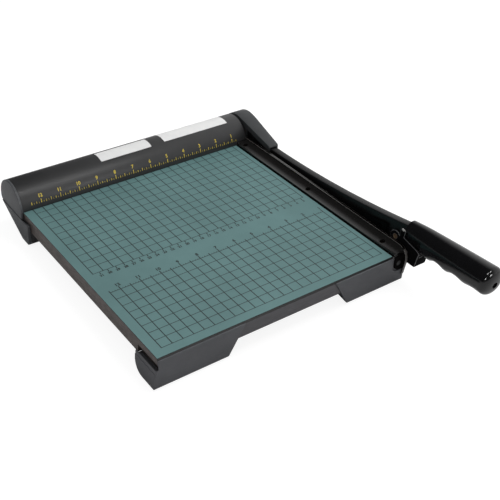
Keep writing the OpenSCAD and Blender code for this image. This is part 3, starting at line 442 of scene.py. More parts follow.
# Nitrile rubber, moulded: dead matte black with dust in the grain
RUBBER = Finish(
    "nitrile_rubber", "pad_rubber", "#1c1c1c", "#242322",
    roughness=0.85, spread=0.06, patch_mm=5, grain_mm=0.7, depth_mm=0.05, ior=1.45,
)
# Yellow chromate over steel, worn brown: metal with warm patches
CHROMATE = Finish(
    "yellow_chromate_steel", "bronzed_bolt", "#a08468", "#6d5644",
    roughness=0.42, spread=0.1, patch_mm=2.5, grain_mm=0.5, depth_mm=0.02, metallic=0.7,
)
# Stamped steel, black oxide: semi-gloss, rubbed bright where the thumb presses its tab
LATCH = WornSteel(
    "black_oxide_stamping", "latch_steel", "#0d0d0e", "#0a0a0b",
    roughness=0.5, spread=0.05, patch_mm=8, grain_mm=1.4, depth_mm=0.004, ior=1.05,
)
# The same plate's rounded cut edges, painted pale grey as a highlight where light catches them
LATCH_EDGE_HIGHLIGHT = Finish(
    "latch_edge_highlight", "", "#6a6a6c", "#49494b",
    roughness=0.4, spread=0.08, patch_mm=5, grain_mm=0.8, depth_mm=0.003, specular=0.4,
)
# White vinyl label film, semi-gloss: slightly grey in patches
FILM = Finish(
    "vinyl_label_film", "", "#dededd", "#d8d8d8",
    roughness=0.4, spread=0.04, patch_mm=20, grain_mm=1.2, depth_mm=0.004,
)
# Screen-printing inks: dull, a little uneven
YELLOW_INK = Finish(
    "yellow_screen_ink", "", "#d3bb30", "#b39c2c",
    roughness=0.55, spread=0.05, patch_mm=2.2, grain_mm=0.5, depth_mm=0.004,
)
BLACK_INK = Finish(
    "black_screen_ink", "", "#1d2525", "#151b1b",
    roughness=0.55, spread=0.05, patch_mm=2.2, grain_mm=0.5, depth_mm=0.004,
)

NODE_FINISH = {
    "board_core": CORE,
    "grid_sheet": SHEET,
    "ledger_rail": POWDER,
    "finger_guard": POWDER,
    "arm": ARM_COAT,
    "rail_screws": ZINC,
    "bed_blade_screws": ZINC,
    "foot_screws": ZINC,
    "housing_screws": ZINC,
    "bracket_screws": ZINC,
    "blade_screws": BLADE_SCREW,
    "cover_screw": ZINC,
    "handle_screw": ZINC,
    "collar_set_screw": ZINC,
    "guard_screws": BLACK_SCREW,
    "bed_blade": BLADE,
    "moving_blade": BLADE,
    "front_left_foot": MOULDED,
    "front_right_foot": MOULDED,
    "housing_end_cap": CAP,
    "rear_housing": TUBE,
    "hub_cover": HUB,
    "hinge_bracket": PRESSED,
    "spring_anchor": PRESSED,
    "spring_collar": PRESSED,
    "hinge_bushes": BRONZE,
    "torsion_spring": WIRE,
    "latch_spring": WIRE,
    "rubber_pads": RUBBER,
    "strike_pin": SHAFT,
    "pivot_shaft": SHAFT,
    "drive_pin": SHAFT,
    "hinge_washer": SHAFT,
    "hinge_nut": SHAFT,
    "handle_grip": GRIP,
    "latch_pivot": CHROMATE,
    "latch_lever": LATCH,
}


def activate(piece: Piece) -> None:
    """Make one object the only one that is selected, and the active one."""
    bpy.ops.object.select_all(action="DESELECT")
    piece.select_set(True)
    bpy.context.view_layer.objects.active = piece


@contextmanager
def editing(piece: Piece, mode: str = "FACE") -> Iterator[bmesh.types.BMesh]:
    """Open a piece in edit mode.

    Args:
        piece: The piece to edit.
        mode: What is selected: VERT, EDGE or FACE.

    Returns:
        The edit mesh, for selecting in code.
    """
    activate(piece)
    bpy.ops.object.mode_set(mode="EDIT")
    bpy.ops.mesh.select_mode(type=mode)
    mesh = bmesh.from_edit_mesh(piece.data)
    yield mesh
    bmesh.update_edit_mesh(piece.data)
    bpy.ops.object.mode_set(mode="OBJECT")


def pick(mesh: bmesh.types.BMesh, items: Sequence, test: Callable[[object], bool]) -> None:
    """Select the faces, edges or points that pass a test, and nothing else.

    Args:
        mesh: The edit mesh.
        items: Its faces, edges or verts.
        test: True for what is to be selected.
    """
    bpy.ops.mesh.select_all(action="DESELECT")
    for item in items:
        if test(item):
            item.select_set(True)
    mesh.select_flush_mode()


def modify(piece: Piece, kind: str, **settings: object) -> None:
    """Add a modifier with its settings and apply it.

    Args:
        piece: The piece to change.
        kind: The modifier's type.
        settings: Its attributes.
    """
    activate(piece)
    bpy.ops.object.modifier_add(type=kind)
    made = piece.modifiers[-1]
    for name, value in settings.items():
        setattr(made, name, value)
    bpy.ops.object.modifier_apply(modifier=made.name)


def settle(piece: Piece) -> None:
    """Put an object's place, turn and scale into its mesh."""
    activate(piece)
    bpy.ops.object.transform_apply(location=True, rotation=True, scale=True)


def shift(piece: Piece, way: Sequence[float]) -> None:
    """Move a piece's mesh by a way in metres."""
    piece.data.transform(Matrix.Translation(way))


def looks_down(face: bmesh.types.BMFace) -> bool:
    """Tell whether a face looks straight down."""
    return face.normal.z < -0.9


def named(name: str) -> Piece:
    """Give the active object a name, for itself and its mesh, and return it."""
    piece = bpy.context.active_object
    piece.name = name
    piece.data.name = name
    return piece


def link_object(name: str, data: bpy.types.ID) -> Piece:
    """Make an object of some data, put it in the scene and return it."""
    made = bpy.data.objects.new(name, data)
    bpy.context.scene.collection.objects.link(made)
    return made


def smooth(piece: Piece, degrees: float = 30.0) -> None:
    """Shade a piece smooth except over edges sharper than an angle."""
    activate(piece)
    bpy.ops.object.shade_smooth_by_angle(angle=math.radians(degrees))


def face_outward() -> None:
    """Turn all faces of the piece that is open in edit mode outward."""
    bpy.ops.mesh.select_all(action="SELECT")
    bpy.ops.mesh.normals_make_consistent(inside=False)


def thicken(piece: Piece, way: Sequence[float]) -> None:
    """Extrude the whole of a flat piece.

    Args:
        piece: The flat piece.
        way: The direction and length of the extrusion, in metres.
    """
    with editing(piece):
        bpy.ops.mesh.select_all(action="SELECT")
        bpy.ops.mesh.extrude_region_move(TRANSFORM_OT_translate={"value": way})
        face_outward()


def simplify(piece: Piece, degrees: float, border: str) -> None:
    """Merge a piece's doubled points and its flat neighbouring faces.

    Args:
        piece: The piece.
        degrees: The angle up to which neighbouring faces count as flat.
        border: What parts faces that stay apart: NORMAL or MATERIAL.
    """
    with editing(piece):
        bpy.ops.mesh.select_all(action="SELECT")
        bpy.ops.mesh.remove_doubles(threshold=WELD)
        bpy.ops.mesh.dissolve_limited(angle_limit=math.radians(degrees), delimit={border})


def join(pieces: Sequence[Piece], name: str) -> Piece:
    """Join several meshes into one piece.

    Args:
        pieces: The meshes.
        name: The joined piece's name.

    Returns:
        The joined piece.
    """
    bpy.ops.object.select_all(action="DESELECT")
    for piece in pieces:
        piece.select_set(True)
    bpy.context.view_layer.objects.active = pieces[0]
    if len(pieces) > 1:
        bpy.ops.object.join()
    return named(name)


def fit(piece: Piece, finish: Finish, body: Body, *nodes: str) -> Piece:
    """Dress a finished piece and fasten it to its body.

    Args:
        piece: A piece with its place in its mesh.
        finish: Its finish.
        body: The body that it rides on.
        nodes: The CAD nodes that it stands for.

    Returns:
        The piece.
    """
    if finish.material().name not in piece.data.materials:
        piece.data.materials.clear()
        piece.data.materials.append(finish.material())
    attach(piece, body.value)
    if nodes:
        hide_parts(*nodes)
    log.info("%s: %d faces on %s", piece.name, len(piece.data.polygons), body.value)
    return piece


def solids(node: str) -> list[tuple[Vector, Vector]]:
    """Find the separate solids of a CAD node.

    Args:
        node: The node's name.

    Returns:
        The lowest and highest corner of each solid, from left to right and front to back.
    """
    mesh = bmesh.new()
    mesh.from_mesh(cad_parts[node].data)
    bmesh.ops.remove_doubles(mesh, verts=mesh.verts, dist=WELD / 2)
    left = set(mesh.verts)
    found = []
    while left:
        front = [left.pop()]
        group = list(front)
        while front:
            near = [e.other_vert(v) for v in front for e in v.link_edges]
            front = list({v for v in near if v in left})
            left.difference_update(front)
            group += front
        low = Vector([min(v.co[i] for v in group) for i in range(3)])
        high = Vector([max(v.co[i] for v in group) for i in range(3)])
        found.append((low, high))
    mesh.free()
    return sorted(found, key=lambda b: (round(b[0].x, 5), round(b[0].y, 5)))


@dataclass
class SoftEdges:
    """A CAD part remade with its sharp edges rounded, as coating and moulding leave them."""

    node: str
    body: Body
    radius_mm: float
    segments: int = 2
    angle: float = 28.0
    flat_angle: float = 0.8
    edge: Finish | None = None

    def build(self) -> Piece:
        """Copy the node, round its edges and put the copy in the node's place."""
        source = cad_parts[self.node]
        piece = link_object(self.node + "_dressed", source.data.copy())
        with editing(piece):
            bpy.ops.mesh.customdata_custom_splitnormals_clear()
        simplify(piece, self.flat_angle, "NORMAL")
        if self.edge:
            piece.data.materials.append(self.edge.material())
        modify(
            piece,
            "BEVEL",
            width=self.radius_mm * MM,
            segments=self.segments,
            limit_method="ANGLE",
            angle_limit=math.radians(self.angle),
            use_clamp_overlap=False,
            material=1 if self.edge else -1,
        )
        smooth(piece)
        return fit(piece, NODE_FINISH[self.node], self.body, self.node)


def rounded(
    points: Sequence[tuple[float, float]], radii: Sequence[float], steps: int = 10
) -> list[Vector]:
    """Round the corners of an outline.

    Args:
        points: The corners.
        radii: Each corner's radius, 0 where it stays sharp.
        steps: How many chords a round corner has.

    Returns:
        The outline's points.
    """
    outline = []
    for i, radius in enumerate(radii):
        here = Vector(points[i])
        if not radius:
            outline.append(here)
            continue
        back = (Vector(points[i - 1]) - here).normalized()
        ahead = (Vector(points[(i + 1) % len(points)]) - here).normalized()
        half = back.angle(ahead) / 2
        centre = here + (back + ahead).normalized() * radius / math.sin(half)
        first = here + back * radius / math.tan(half) - centre
        last = here + ahead * radius / math.tan(half) - centre
        sweep = first.angle(last)
        for k in range(steps + 1):
            turn = sweep * k / steps
            spoke = first * math.sin(sweep - turn) + last * math.sin(turn)
            outline.append(centre + spoke / math.sin(sweep))
    return outline


def slab(name: str, outline: Sequence[Sequence[float]], axis: int, start: float, end: float) -> Piece:
    """Make a solid with one outline all along an axis.

    Args:
        name: The solid's name.
        outline: The points across the axis, in mm, the lower-numbered coordinate first.
        axis: The axis that it runs along: 0 for x, 1 for y.
        start: Where it starts on the axis, in mm.
        end: Where it ends.

    Returns:
        The solid.
    """
    bpy.ops.mesh.primitive_circle_add(vertices=len(outline), fill_type="NGON")
    piece = named(name)
    for v, (a, b) in zip(piece.data.vertices, outline):
        v.co = DATUM.at(start, a, b) if axis == 0 else DATUM.at(a, start, b)
    thicken(piece, [(end - start) * MM if i == axis else 0 for i in range(3)])
    return piece


def soften(piece: Piece, radius: float, segments: int = 2, slot: int = -1) -> None:
    """Round a piece's sharp edges.

    Args:
        piece: The piece.
        radius: The edges' radius, in mm.
        segments: How many chords an edge has.
        slot: The number of the finish on the rounded edges, or -1 for the finish beside them.
    """
    rounding = {"width": radius * MM, "segments": segments, "material": slot}
    modify(piece, "BEVEL", limit_method="ANGLE", angle_limit=math.radians(EDGE_ANGLE), **rounding)


def rod(
    radius: float, length: float, middle: Sequence[float], turn: Sequence[float], sides: int = 32
) -> Piece:
    """Make a plain cylinder with its place in its mesh.

    Args:
        radius: Its radius, in mm.
        length: Its length, in mm.
        middle: Its middle, in metres.
        turn: How it is turned from upright, in radians.
        sides: How many sides it has.

    Returns:
        The cylinder.
    """
    bpy.ops.mesh.primitive_cylinder_add(
        vertices=sides, radius=radius * MM, depth=length * MM, location=middle, rotation=turn
    )
    made = bpy.context.active_object
    settle(made)
    return made


def combine(piece: Piece, other: Piece, way: str) -> None:
    """Add another solid to a piece, or take it away, and remove the other.

    Args:
        piece: The piece to change.
        other: The solid that is used up.
        way: UNION or DIFFERENCE.
    """
    modify(piece, "BOOLEAN", operation=way, object=other, solver="EXACT")
    bpy.data.objects.remove(other)


@dataclass
class Guard:
    """The guard over the cutting edge: a hollow ramp, a rounded ridge and a strap down to the foot."""

    left: float = -17.5
    right: float = -0.8
    ridge_t: float = 3.4
    edge_r: float = 1.65
    low: float = 39.2
    top: float = 46.0
    base_t: float = 1.3
    rear: float = 301.2
    nose: float = 5.3
    nose_r: float = 14.0
    strap_back: float = -1.85
    strap_low: float = 10.0
    strap_low_r: float = 0.8
    strap_top: float = 17.3
    strap_taper: float = 2.4
    strap_bend: float = 26.5
    tab_left: float = -16.2
    tab_low: float = 18.0
    tab_top: float = 37.0
    tab_t: float = 1.5
    tab_r: float = 8.0
    tab_bite: float = 0.3
    tongue_w: float = 10.0
    tongue_t: float = 3.0
    tongue_rear: float = 310.7
    tongue_step: float = 0.6
    tongue_bite: float = 1.0
    tongue_r: float = 0.3
    hole_r: float = 3.1
    head_r: float = 3.0
    bore_l: float = 40.0
    flat_angle: float = 0.5
    steps: int = 18
    edge_steps: int = 5
    coats: tuple[Finish, ...] = (POWDER, POWDER_HIGHLIGHT, POWDER_SHADED)

    def ramp(self) -> Piece:
        """Make the ramp, whose hollow top rises from the board to the ridge."""
        wide = self.right - self.ridge_t - self.left
        high = self.top - self.ridge_t / 2 - self.low - self.base_t
        radius = (wide**2 + high**2) / (2 * high)
        foot = Vector((self.left, self.low + self.base_t))
        hollow = []
        for k in range(self.steps + 1):
            turn = math.asin(wide / radius) * k / self.steps
            hollow.append(foot + Vector((math.sin(turn), 1 - math.cos(turn))) * radius)
        crown = hollow[-1] + Vector((self.ridge_t / 2, 0))
        corners = [crown, Vector((crown.x, self.low)), Vector((self.left, self.low))]
        return slab("ramp", hollow + corners, 1, 0, self.rear)

    def ridge(self) -> Piece:
        """Make the upright plate with its round nose and its strap, rounded along the top, with a painted
        highlight on the rounded edges and the strap's front.
        """
        corners = [
            (self.rear, self.low),
            (self.rear, self.top),
            (-self.nose, self.top),
            (-self.nose, self.strap_bend),
            (self.strap_taper - self.nose, self.strap_low),
            (self.strap_back, self.strap_low),
            (self.strap_back, self.strap_top),
            (0, self.strap_top),
            (0, self.low),
        ]
        radii = [0, 0, self.nose_r, self.strap_taper, self.strap_low_r, 0, 0, 0, 0]
        outline = rounded(corners, radii)
        piece = slab("finger_guard_dressed", outline, 0, self.right - self.ridge_t, self.right)
        for coat in self.coats:
            piece.data.materials.append(coat.material())
        # Painted highlight: the rounded edges and the strap's front take the paler coat, standing in for
        # light caught there
        rubbed = self.coats.index(POWDER_HIGHLIGHT)
        soften(piece, self.edge_r, self.edge_steps, rubbed)
        for face in piece.data.polygons:
            if face.center.y < DATUM.front and face.normal.x < 0.5:
                face.material_index = rubbed
        return piece

    def tab(self) -> Piece:
        """Make the tab that is screwed into the pocket of the foot, in the shaded copy of the coat."""
        left, right = self.tab_left, self.right - self.ridge_t + self.tab_bite
        low, high = self.tab_low, self.tab_top
        corners = [(left, high), (left, low), (right, low), (right, high)]
        piece = slab("tab", rounded(corners, [0, self.tab_r, 0, 0]), 1, -self.tab_t, 0)
        # Painted shade: the whole tab takes the shaded copy of the coat
        for face in piece.data.polygons:
            face.material_index = self.coats.index(POWDER_SHADED)
        return piece

    def tongue(self) -> Piece:
        """Make the tongue that reaches under the housing."""
        left = self.left + self.tongue_step
        right = left + self.tongue_w
        high = self.low + self.tongue_t
        corners = [(left, self.low), (left, high), (right, high), (right, self.low)]
        piece = slab("tongue", corners, 1, self.rear - self.tongue_bite, self.tongue_rear)
        soften(piece, self.tongue_r)
        return piece

    def holes(self) -> list[Piece]:
        """Make the cutters for the screw holes, from the screws' own places."""
        bores = [(low, high, self.hole_r, UPRIGHT) for low, high in solids("rail_screws")]
        for low, high in solids("guard_screws"):
            bores.append((low, high, self.head_r, UPRIGHT if low.y > DATUM.front else LEVEL))
        return [rod(radius, self.bore_l, (low + high) / 2, turn) for low, high, radius, turn in bores]

    def build(self) -> None:
        """Join the guard's parts, cut its holes and put it in its node's place."""
        piece = self.ridge()
        for part in (self.ramp(), self.tab(), self.tongue()):
            combine(piece, part, "UNION")
        for cutter in self.holes():
            combine(piece, cutter, "DIFFERENCE")
        simplify(piece, self.flat_angle, "MATERIAL")
        smooth(piece)
        fit(piece, POWDER, Body.BASE, "finger_guard")


def number_mesh(value: int, height: float, thick: float) -> Piece:
    """Make a printed number lying flat, with its middle at the origin.

    Args:
        value: The number.
        height: The height of its digits, in mm.
        thick: How far the ink stands out, in mm.

    Returns:
        Its mesh.
    """
    bpy.ops.object.text_add()
    text = bpy.context.active_object
    text.data.body = str(value)
    text.data.size = height / DIGIT_SHARE * MM
    text.data.extrude = thick / 2 * MM
    text.data.offset = height * STROKE_SHARE * MM
    text.data.align_x = "CENTER"
    text.data.align_y = "CENTER"
    text.data.resolution_u = 3
    activate(text)
    bpy.ops.object.convert(target="MESH")
    made = bpy.context.active_object
    shift(made, (0, 0, thick / 2 * MM))
    return made


def bars(places: Sequence[tuple[float, float, float, float]], thick: float, name: str) -> Piece:
    """Make printed ticks lying flat, as one piece.

    Args:
        places: For each tick its x, its lowest y, its highest y and its width, in mm.
        thick: How far the ink stands out, in mm.
        name: The piece's name.

    Returns:
        The ticks, standing on z = 0.
    """
    bpy.ops.mesh.primitive_plane_add(size=1)
    piece = named(name)
    with editing(piece) as mesh:
        bpy.ops.mesh.delete(type="VERT")
        for x, low, high, width in places:
            middle = (x * MM, (low + high) / 2 * MM, 0)
            bpy.ops.mesh.primitive_plane_add(size=1, location=middle)
            bpy.ops.transform.resize(value=(width * MM, (high - low) * MM, 1), center_override=middle)
    thicken(piece, (0, 0, thick * MM))
    return piece


def tick_size(eighth: int, sizes: Sequence[tuple[float, float]]) -> tuple[float, float]:
    """Return a tick's length and width from its place in the inch.

    Args:
        eighth: Its number, counted in eighths of an inch.
        sizes: Length and width of the inch, half, quarter and eighth ticks.
    """
    for step, size in zip((8, 4, 2, 1), sizes):
        if eighth % step == 0:
            return size
    return sizes[-1]


@dataclass
class BoardPrint:
    """The rulers printed across the middle of the board: inches on one line, centimetres on another."""

    inch_line: float = 114.1
    metric_line: float = 152.2
    digit_h: float = 4.4
    metric_digit_h: float = 3.5
    ink_t: float = 0.03
    eighths: range = range(8, 101)
    inches: range = range(1, 13)
    centimetres: range = range(3, 32)
    tick_sizes: tuple = ((5.3, 1.2), (3.1, 1.15), (1.7, 0.7), (1.4, 0.6))
    tick_gap: float = 0.2
    metric_tick: tuple[float, float, float] = (-4.1, -0.8, 1.15)
    inch_at: tuple[float, float] = (0.6, 8.2)
    metric_up: float = -7.0

    def ticks(self) -> Piece:
        """Make all the ticks of both rulers as one piece."""
        places = []
        for i in self.eighths:
            length, width = tick_size(i, self.tick_sizes)
            foot = self.inch_line + self.tick_gap
            places.append((-i * INCH / 8, foot, self.inch_line + length, width))
        low, high, width = self.metric_tick
        for cm in self.centimetres:
            places.append((-cm * 10, self.metric_line + low, self.metric_line + high, width))
        piece = bars(places, self.ink_t, "board_ticks")
        shift(piece, DATUM.at(0, 0, TOP))
        return piece

    def numbers(self, name: str, places: dict[int, tuple[float, float]], height: float) -> Piece:
        """Make a row of printed numbers.

        Args:
            name: The piece's name.
            places: Each number's x and y, in mm.
            height: The height of the digits, in mm.
        """
        made = []
        for value, (x, y) in places.items():
            number = number_mesh(value, height, self.ink_t)
            shift(number, DATUM.at(x, y, TOP))
            made.append(number)
        return join(made, name)

    def build(self) -> None:
        """Make the ticks and the numbers."""
        fit(self.ticks(), BLACK_INK, Body.BASE)
        across, up = self.inch_at
        inches = {n: (across - n * INCH, self.inch_line + up) for n in self.inches}
        fit(self.numbers("board_inch_numbers", inches, self.digit_h), BLACK_INK, Body.BASE)
        metric = {n: (-n * 10, self.metric_line + self.metric_up) for n in self.centimetres}
        numbers = self.numbers("board_centimetre_numbers", metric, self.metric_digit_h)
        fit(numbers, BLACK_INK, Body.BASE)


@dataclass
class TubeWrap:
    """What lies on the round front of the housing: its ruler and two blank label plates."""

    foot_angle: float = 14.1
    number_angle: float = 31.5
    digit_h: float = 4.2
    ink_t: float = 0.05
    film_t: float = 0.12
    row_mm: float = 0.9
    corner_mm: float = 1.0
    shade_angle: float = 40.0
    eighths: range = range(6, 101)
    inches: range = range(1, 13)
    tick_sizes: tuple = ((5.0, 1.0), (3.7, 0.9), (2.7, 0.8), (1.9, 0.4))
    labels: tuple = (
        ("label_plate_left", -214, -141, 67, 106),
        ("label_plate_right", -121, -22, 70, 128),
    )

    def wrap(self, piece: Piece, angle: float) -> Piece:
        """Cut a flat piece into narrow rows and roll it on the tube.

        Args:
            piece: A mesh with x along the tube, y round it and z out of it, in metres.
            angle: The place of its y = 0 above the tube's front, in degrees.

        Returns:
            The same piece.
        """
        ys = [v.co.y for v in piece.data.vertices]
        rows = math.ceil((max(ys) - min(ys)) / (self.row_mm * MM))
        with editing(piece):
            for step in range(1, rows):
                bpy.ops.mesh.select_all(action="SELECT")
                row = min(ys) + (max(ys) - min(ys)) * step / rows
                bpy.ops.mesh.bisect(plane_co=(0, row, 0), plane_no=(0, 1, 0))
        for v in piece.data.vertices:
            turn = math.radians(angle) + v.co.y / (TUBE_R * MM)
            out = TUBE_R * MM + v.co.z
            y, z = AXIS.y - out * math.cos(turn), AXIS.z + out * math.sin(turn)
            v.co = Vector((DATUM.cut + v.co.x, y, z))
        return piece

    def ticks(self) -> Piece:
        """Make the ruler's ticks, from the quarter before 1 to the half inch after 12."""
        places = []
        for i in self.eighths:
            length, width = tick_size(i, self.tick_sizes)
            places.append((-i * INCH / 8, 0, length, width))
        return self.wrap(bars(places, self.ink_t, "tube_ticks"), self.foot_angle)

    def numbers(self) -> Piece:
        """Make the ruler's numbers as one piece."""
        made = []
        for value in self.inches:
            number = number_mesh(value, self.digit_h, self.ink_t)
            shift(number, (-value * INCH * MM, 0, 0))
            made.append(number)
        return self.wrap(join(made, "tube_numbers"), self.number_angle)

    def label(self, name: str, x0: float, x1: float, low: float, high: float) -> Piece:
        """Make one blank label plate, rolled on the tube.

        Args:
            name: The piece's name.
            x0: Its left end, in mm from the cutting line.
            x1: Its right end.
            low: The angle of its lower edge above the tube's front, in degrees.
            high: The angle of its upper edge.

        Returns:
            The plate.
        """
        height = math.radians(high - low) * TUBE_R
        bpy.ops.mesh.primitive_plane_add(size=1)
        piece = named(name)
        piece.scale = ((x1 - x0) * MM, height * MM, 1)
        piece.location = ((x0 + x1) / 2 * MM, height / 2 * MM, 0)
        settle(piece)
        with editing(piece, "VERT"):
            bpy.ops.mesh.select_all(action="SELECT")
            bpy.ops.mesh.bevel(offset=self.corner_mm * MM, segments=3, affect="VERTICES")
        thicken(piece, (0, 0, self.film_t * MM))
        self.wrap(piece, low)
        smooth(piece, self.shade_angle)
        return piece

    def build(self) -> None:
        """Make the ruler and both label plates."""
        fit(self.ticks(), YELLOW_INK, Body.BASE)
        fit(self.numbers(), YELLOW_INK, Body.BASE)
        for label in self.labels:
            fit(self.label(*label), FILM, Body.BASE)


@dataclass
class Grip:
    """The polished grip: oval, widening towards its end, with three finger grooves underneath."""

    mid_x: float = 8.3
    rear_y: float = 4.5
    length: float = 121.0
    neck_r: float = 15.8
    full_r: float = 16.9
    full_share: float = 0.25
    mid_z: float = 59.0
    slope: float = 0.05
    dome: float = 9.5
    bluntness: float = 2.6
    oval: tuple[float, float] = (0.73, 0.97)
    groove_d: float = 7.4
    groove_first: float = 49.8
    groove_pitch: float = 26.4
    groove_shares: tuple[float, ...] = (1.0, 0.75, 0.3)
    front_of_latch: float = -22.8
    recess_x: float = 3.25
    recess_z: float = 65.6
    relief_z: float = 45.8
    hole_r: float = 3.6
    hole_z: float = 62.9
    hole_depth: float = 27.5
    hole_sides: int = 40
    side_dip: float = 0.35
    end_share: float = 0.002
    shade_angle: float = 35.0
    clear: tuple[float, float, float] = (-20.0, 40.0, 10.0)
    rings: int = 72
    dome_rings: int = 16
    sides: int = 56

    def radius(self, s: float) -> float:
        """Return the grip's radius at a share of its length from the rear."""
        d = (self.length - self.dome) / self.length
        if s < d:
            grown = min(1.0, s / (d * self.full_share))
            return self.neck_r + (self.full_r - self.neck_r) * math.sin(math.pi / 2 * grown)
        run = (s - d) / (1 - d)
        return self.full_r * max(self.end_share, 1 - run**self.bluntness) ** (1 / self.bluntness)

    def groove(self, s: float) -> float:
        """Return how deep the finger grooves are at a share of the length."""
        run = (s * self.length - self.groove_first) / self.groove_pitch + 0.5
        if run < 0 or run >= len(self.groove_shares):
            return 0.0
        return self.groove_d * self.groove_shares[int(run)] * (1 - math.cos(2 * math.pi * run)) / 2

    def share(self, step: int) -> float:
        """Return the share of the length at which a ring lies; the rings crowd into the dome."""
        body = 1 - self.dome / self.length
        last = self.rings - self.dome_rings
        if step < last:
            return step / last * body
        return 1 - (1 - body) * (1 - math.sin(math.pi / 2 * (step - last) / self.dome_rings))

    def blank(self) -> Piece:
        """Turn a ringed cylinder into the grip's outside."""
        bpy.ops.mesh.primitive_cylinder_add(vertices=self.sides, radius=1, depth=1, end_fill_type="NGON")
        piece = named("grip_body")
        with editing(piece, "EDGE") as mesh:
            pick(mesh, mesh.edges, lambda e: abs(e.verts[0].co.z - e.verts[1].co.z) > 0.5)
            bpy.ops.mesh.subdivide(number_cuts=self.rings - 1)
        for v in piece.data.vertices:
            s = self.share(round((v.co.z + 0.5) * self.rings))
            r = self.radius(s)
            dip = max(0.0, -v.co.y) ** 2 * min(self.groove(s), r / 2)
            wide = self.oval[0] + (self.oval[1] - self.oval[0]) * math.sin(math.pi / 2 * s)
            x = self.mid_x + (r - self.side_dip * dip) * v.co.x * wide
            z = self.mid_z + self.slope * s * self.length + (r - dip) * v.co.y
            v.co = DATUM.at(x, self.rear_y - s * self.length, z)
        with editing(piece):
            face_outward()
        return piece

    def carve(self, piece: Piece, low: tuple, high: tuple) -> None:
        """Cut a box out of the grip.

        Args:
            piece: The grip.
            low: The box's lowest corner, in mm.
            high: Its highest corner, in mm.
        """
        a, b = DATUM.at(*low), DATUM.at(*high)
        bpy.ops.mesh.primitive_cube_add(size=1, location=(a + b) / 2)
        cutter = bpy.context.active_object
        cutter.scale = b - a
        settle(cutter)
        combine(piece, cutter, "DIFFERENCE")

    def bore(self, piece: Piece) -> None:
        """Sink the screw's hole into the end of the grip."""
        end = DATUM.at(self.mid_x, self.rear_y - self.length, self.hole_z)
        cutter = rod(self.hole_r, 2 * self.hole_depth, end, LEVEL, self.hole_sides)
        combine(piece, cutter, "DIFFERENCE")

    def build(self) -> None:
        """Make the grip, relieve it round the latch, sink its hole and put it in its node's place."""
        piece = self.blank()
        left, right, rear = self.clear
        corner = (left, self.front_of_latch, 0)
        self.carve(piece, corner, (self.recess_x, rear, self.recess_z))
        self.carve(piece, corner, (right, rear, self.relief_z))
        self.bore(piece)
        smooth(piece, self.shade_angle)
        fit(piece, GRIP, Body.LEVER, "handle_grip")


@dataclass
class CrossScrew:
    """A countersunk or cheese-head screw with a cross recess, modelled once and copied to its places."""

    node: str
    body: Body
    pointing: Pointing
    finish: Finish
    head_r: float = 3.8
    head_h: float = 2.2
    shank_r: float = 2.0
    recess_w: float = 0.9
    recess_r: float = 2.1
    recess_d: float = 1.1
    recess_taper: tuple[float, float, float] = (0.55, 0.7, 1.0)
    edge_r: float = 0.12
    tip_inset: float = 0.5
    tip_h: float = 0.4
    first_turn: float = 23.0
    next_turn: float = 41.0

    def model(self, length: float) -> Piece:
        """Make one screw that looks up, with the top of its head at the origin."""
        middle = (0, 0, -self.head_h / 2 * MM)
        rod(self.head_r, self.head_h, middle, UPRIGHT)
        piece = named(self.node + "_model")
        share = self.shank_r / self.head_r
        neck = (0, 0, -self.head_h * MM)
        shank = (0, 0, (self.head_h - length) * MM)
        with editing(piece) as mesh:
            pick(mesh, mesh.faces, looks_down)
            bpy.ops.transform.resize(value=(share, share, 1), center_override=neck)
            bpy.ops.mesh.extrude_region_move(TRANSFORM_OT_translate={"value": shank})
            bpy.ops.mesh.inset(thickness=self.tip_inset * MM, depth=self.tip_h * MM)
        soften(piece, self.edge_r)
        combine(piece, self.recess(), "DIFFERENCE")
        smooth(piece)
        return piece

    def recess(self) -> Piece:
        """Make the cross that is cut into the head."""
        arms = []
        bottom = (0, 0, -self.recess_d * MM)
        for turn in (0, 90):
            bpy.ops.mesh.primitive_cube_add(size=1)
            arm = bpy.context.active_object
            arm.scale = (2 * self.recess_r * MM, self.recess_w * MM, 2 * self.recess_d * MM)
            settle(arm)
            with editing(arm) as mesh:
                pick(mesh, mesh.faces, looks_down)
                bpy.ops.transform.resize(value=self.recess_taper, center_override=bottom)
            arm.rotation_euler.z = math.radians(turn)
            settle(arm)
            arms.append(arm)
        combine(arms[0], arms[1], "UNION")
        return arms[0]

    def build(self) -> None:
        """Copy the screw to each of its node's places."""
        axis = Vector(self.pointing.value)
        along = max(range(3), key=lambda i: abs(axis[i]))
        turn = Vector((0, 0, 1)).rotation_difference(axis).to_matrix().to_4x4()
        places = solids(self.node)
        length = (places[0][1][along] - places[0][0][along]) / MM
        model = self.model(length)
        made = []
        for low, high in places:
            top = (low + high) / 2
            top[along] = high[along] if axis[along] > 0 else low[along]
            copy = link_object(self.node + "_copy", model.data.copy())
            angle = self.first_turn + self.next_turn * len(made)
            twist = Matrix.Rotation(math.radians(angle), 4, "Z")
            copy.data.transform(Matrix.Translation(top) @ turn @ twist)
            made.append(copy)
        bpy.data.objects.remove(model)
        fit(join(made, self.node + "_dressed"), self.finish, self.body, self.node)


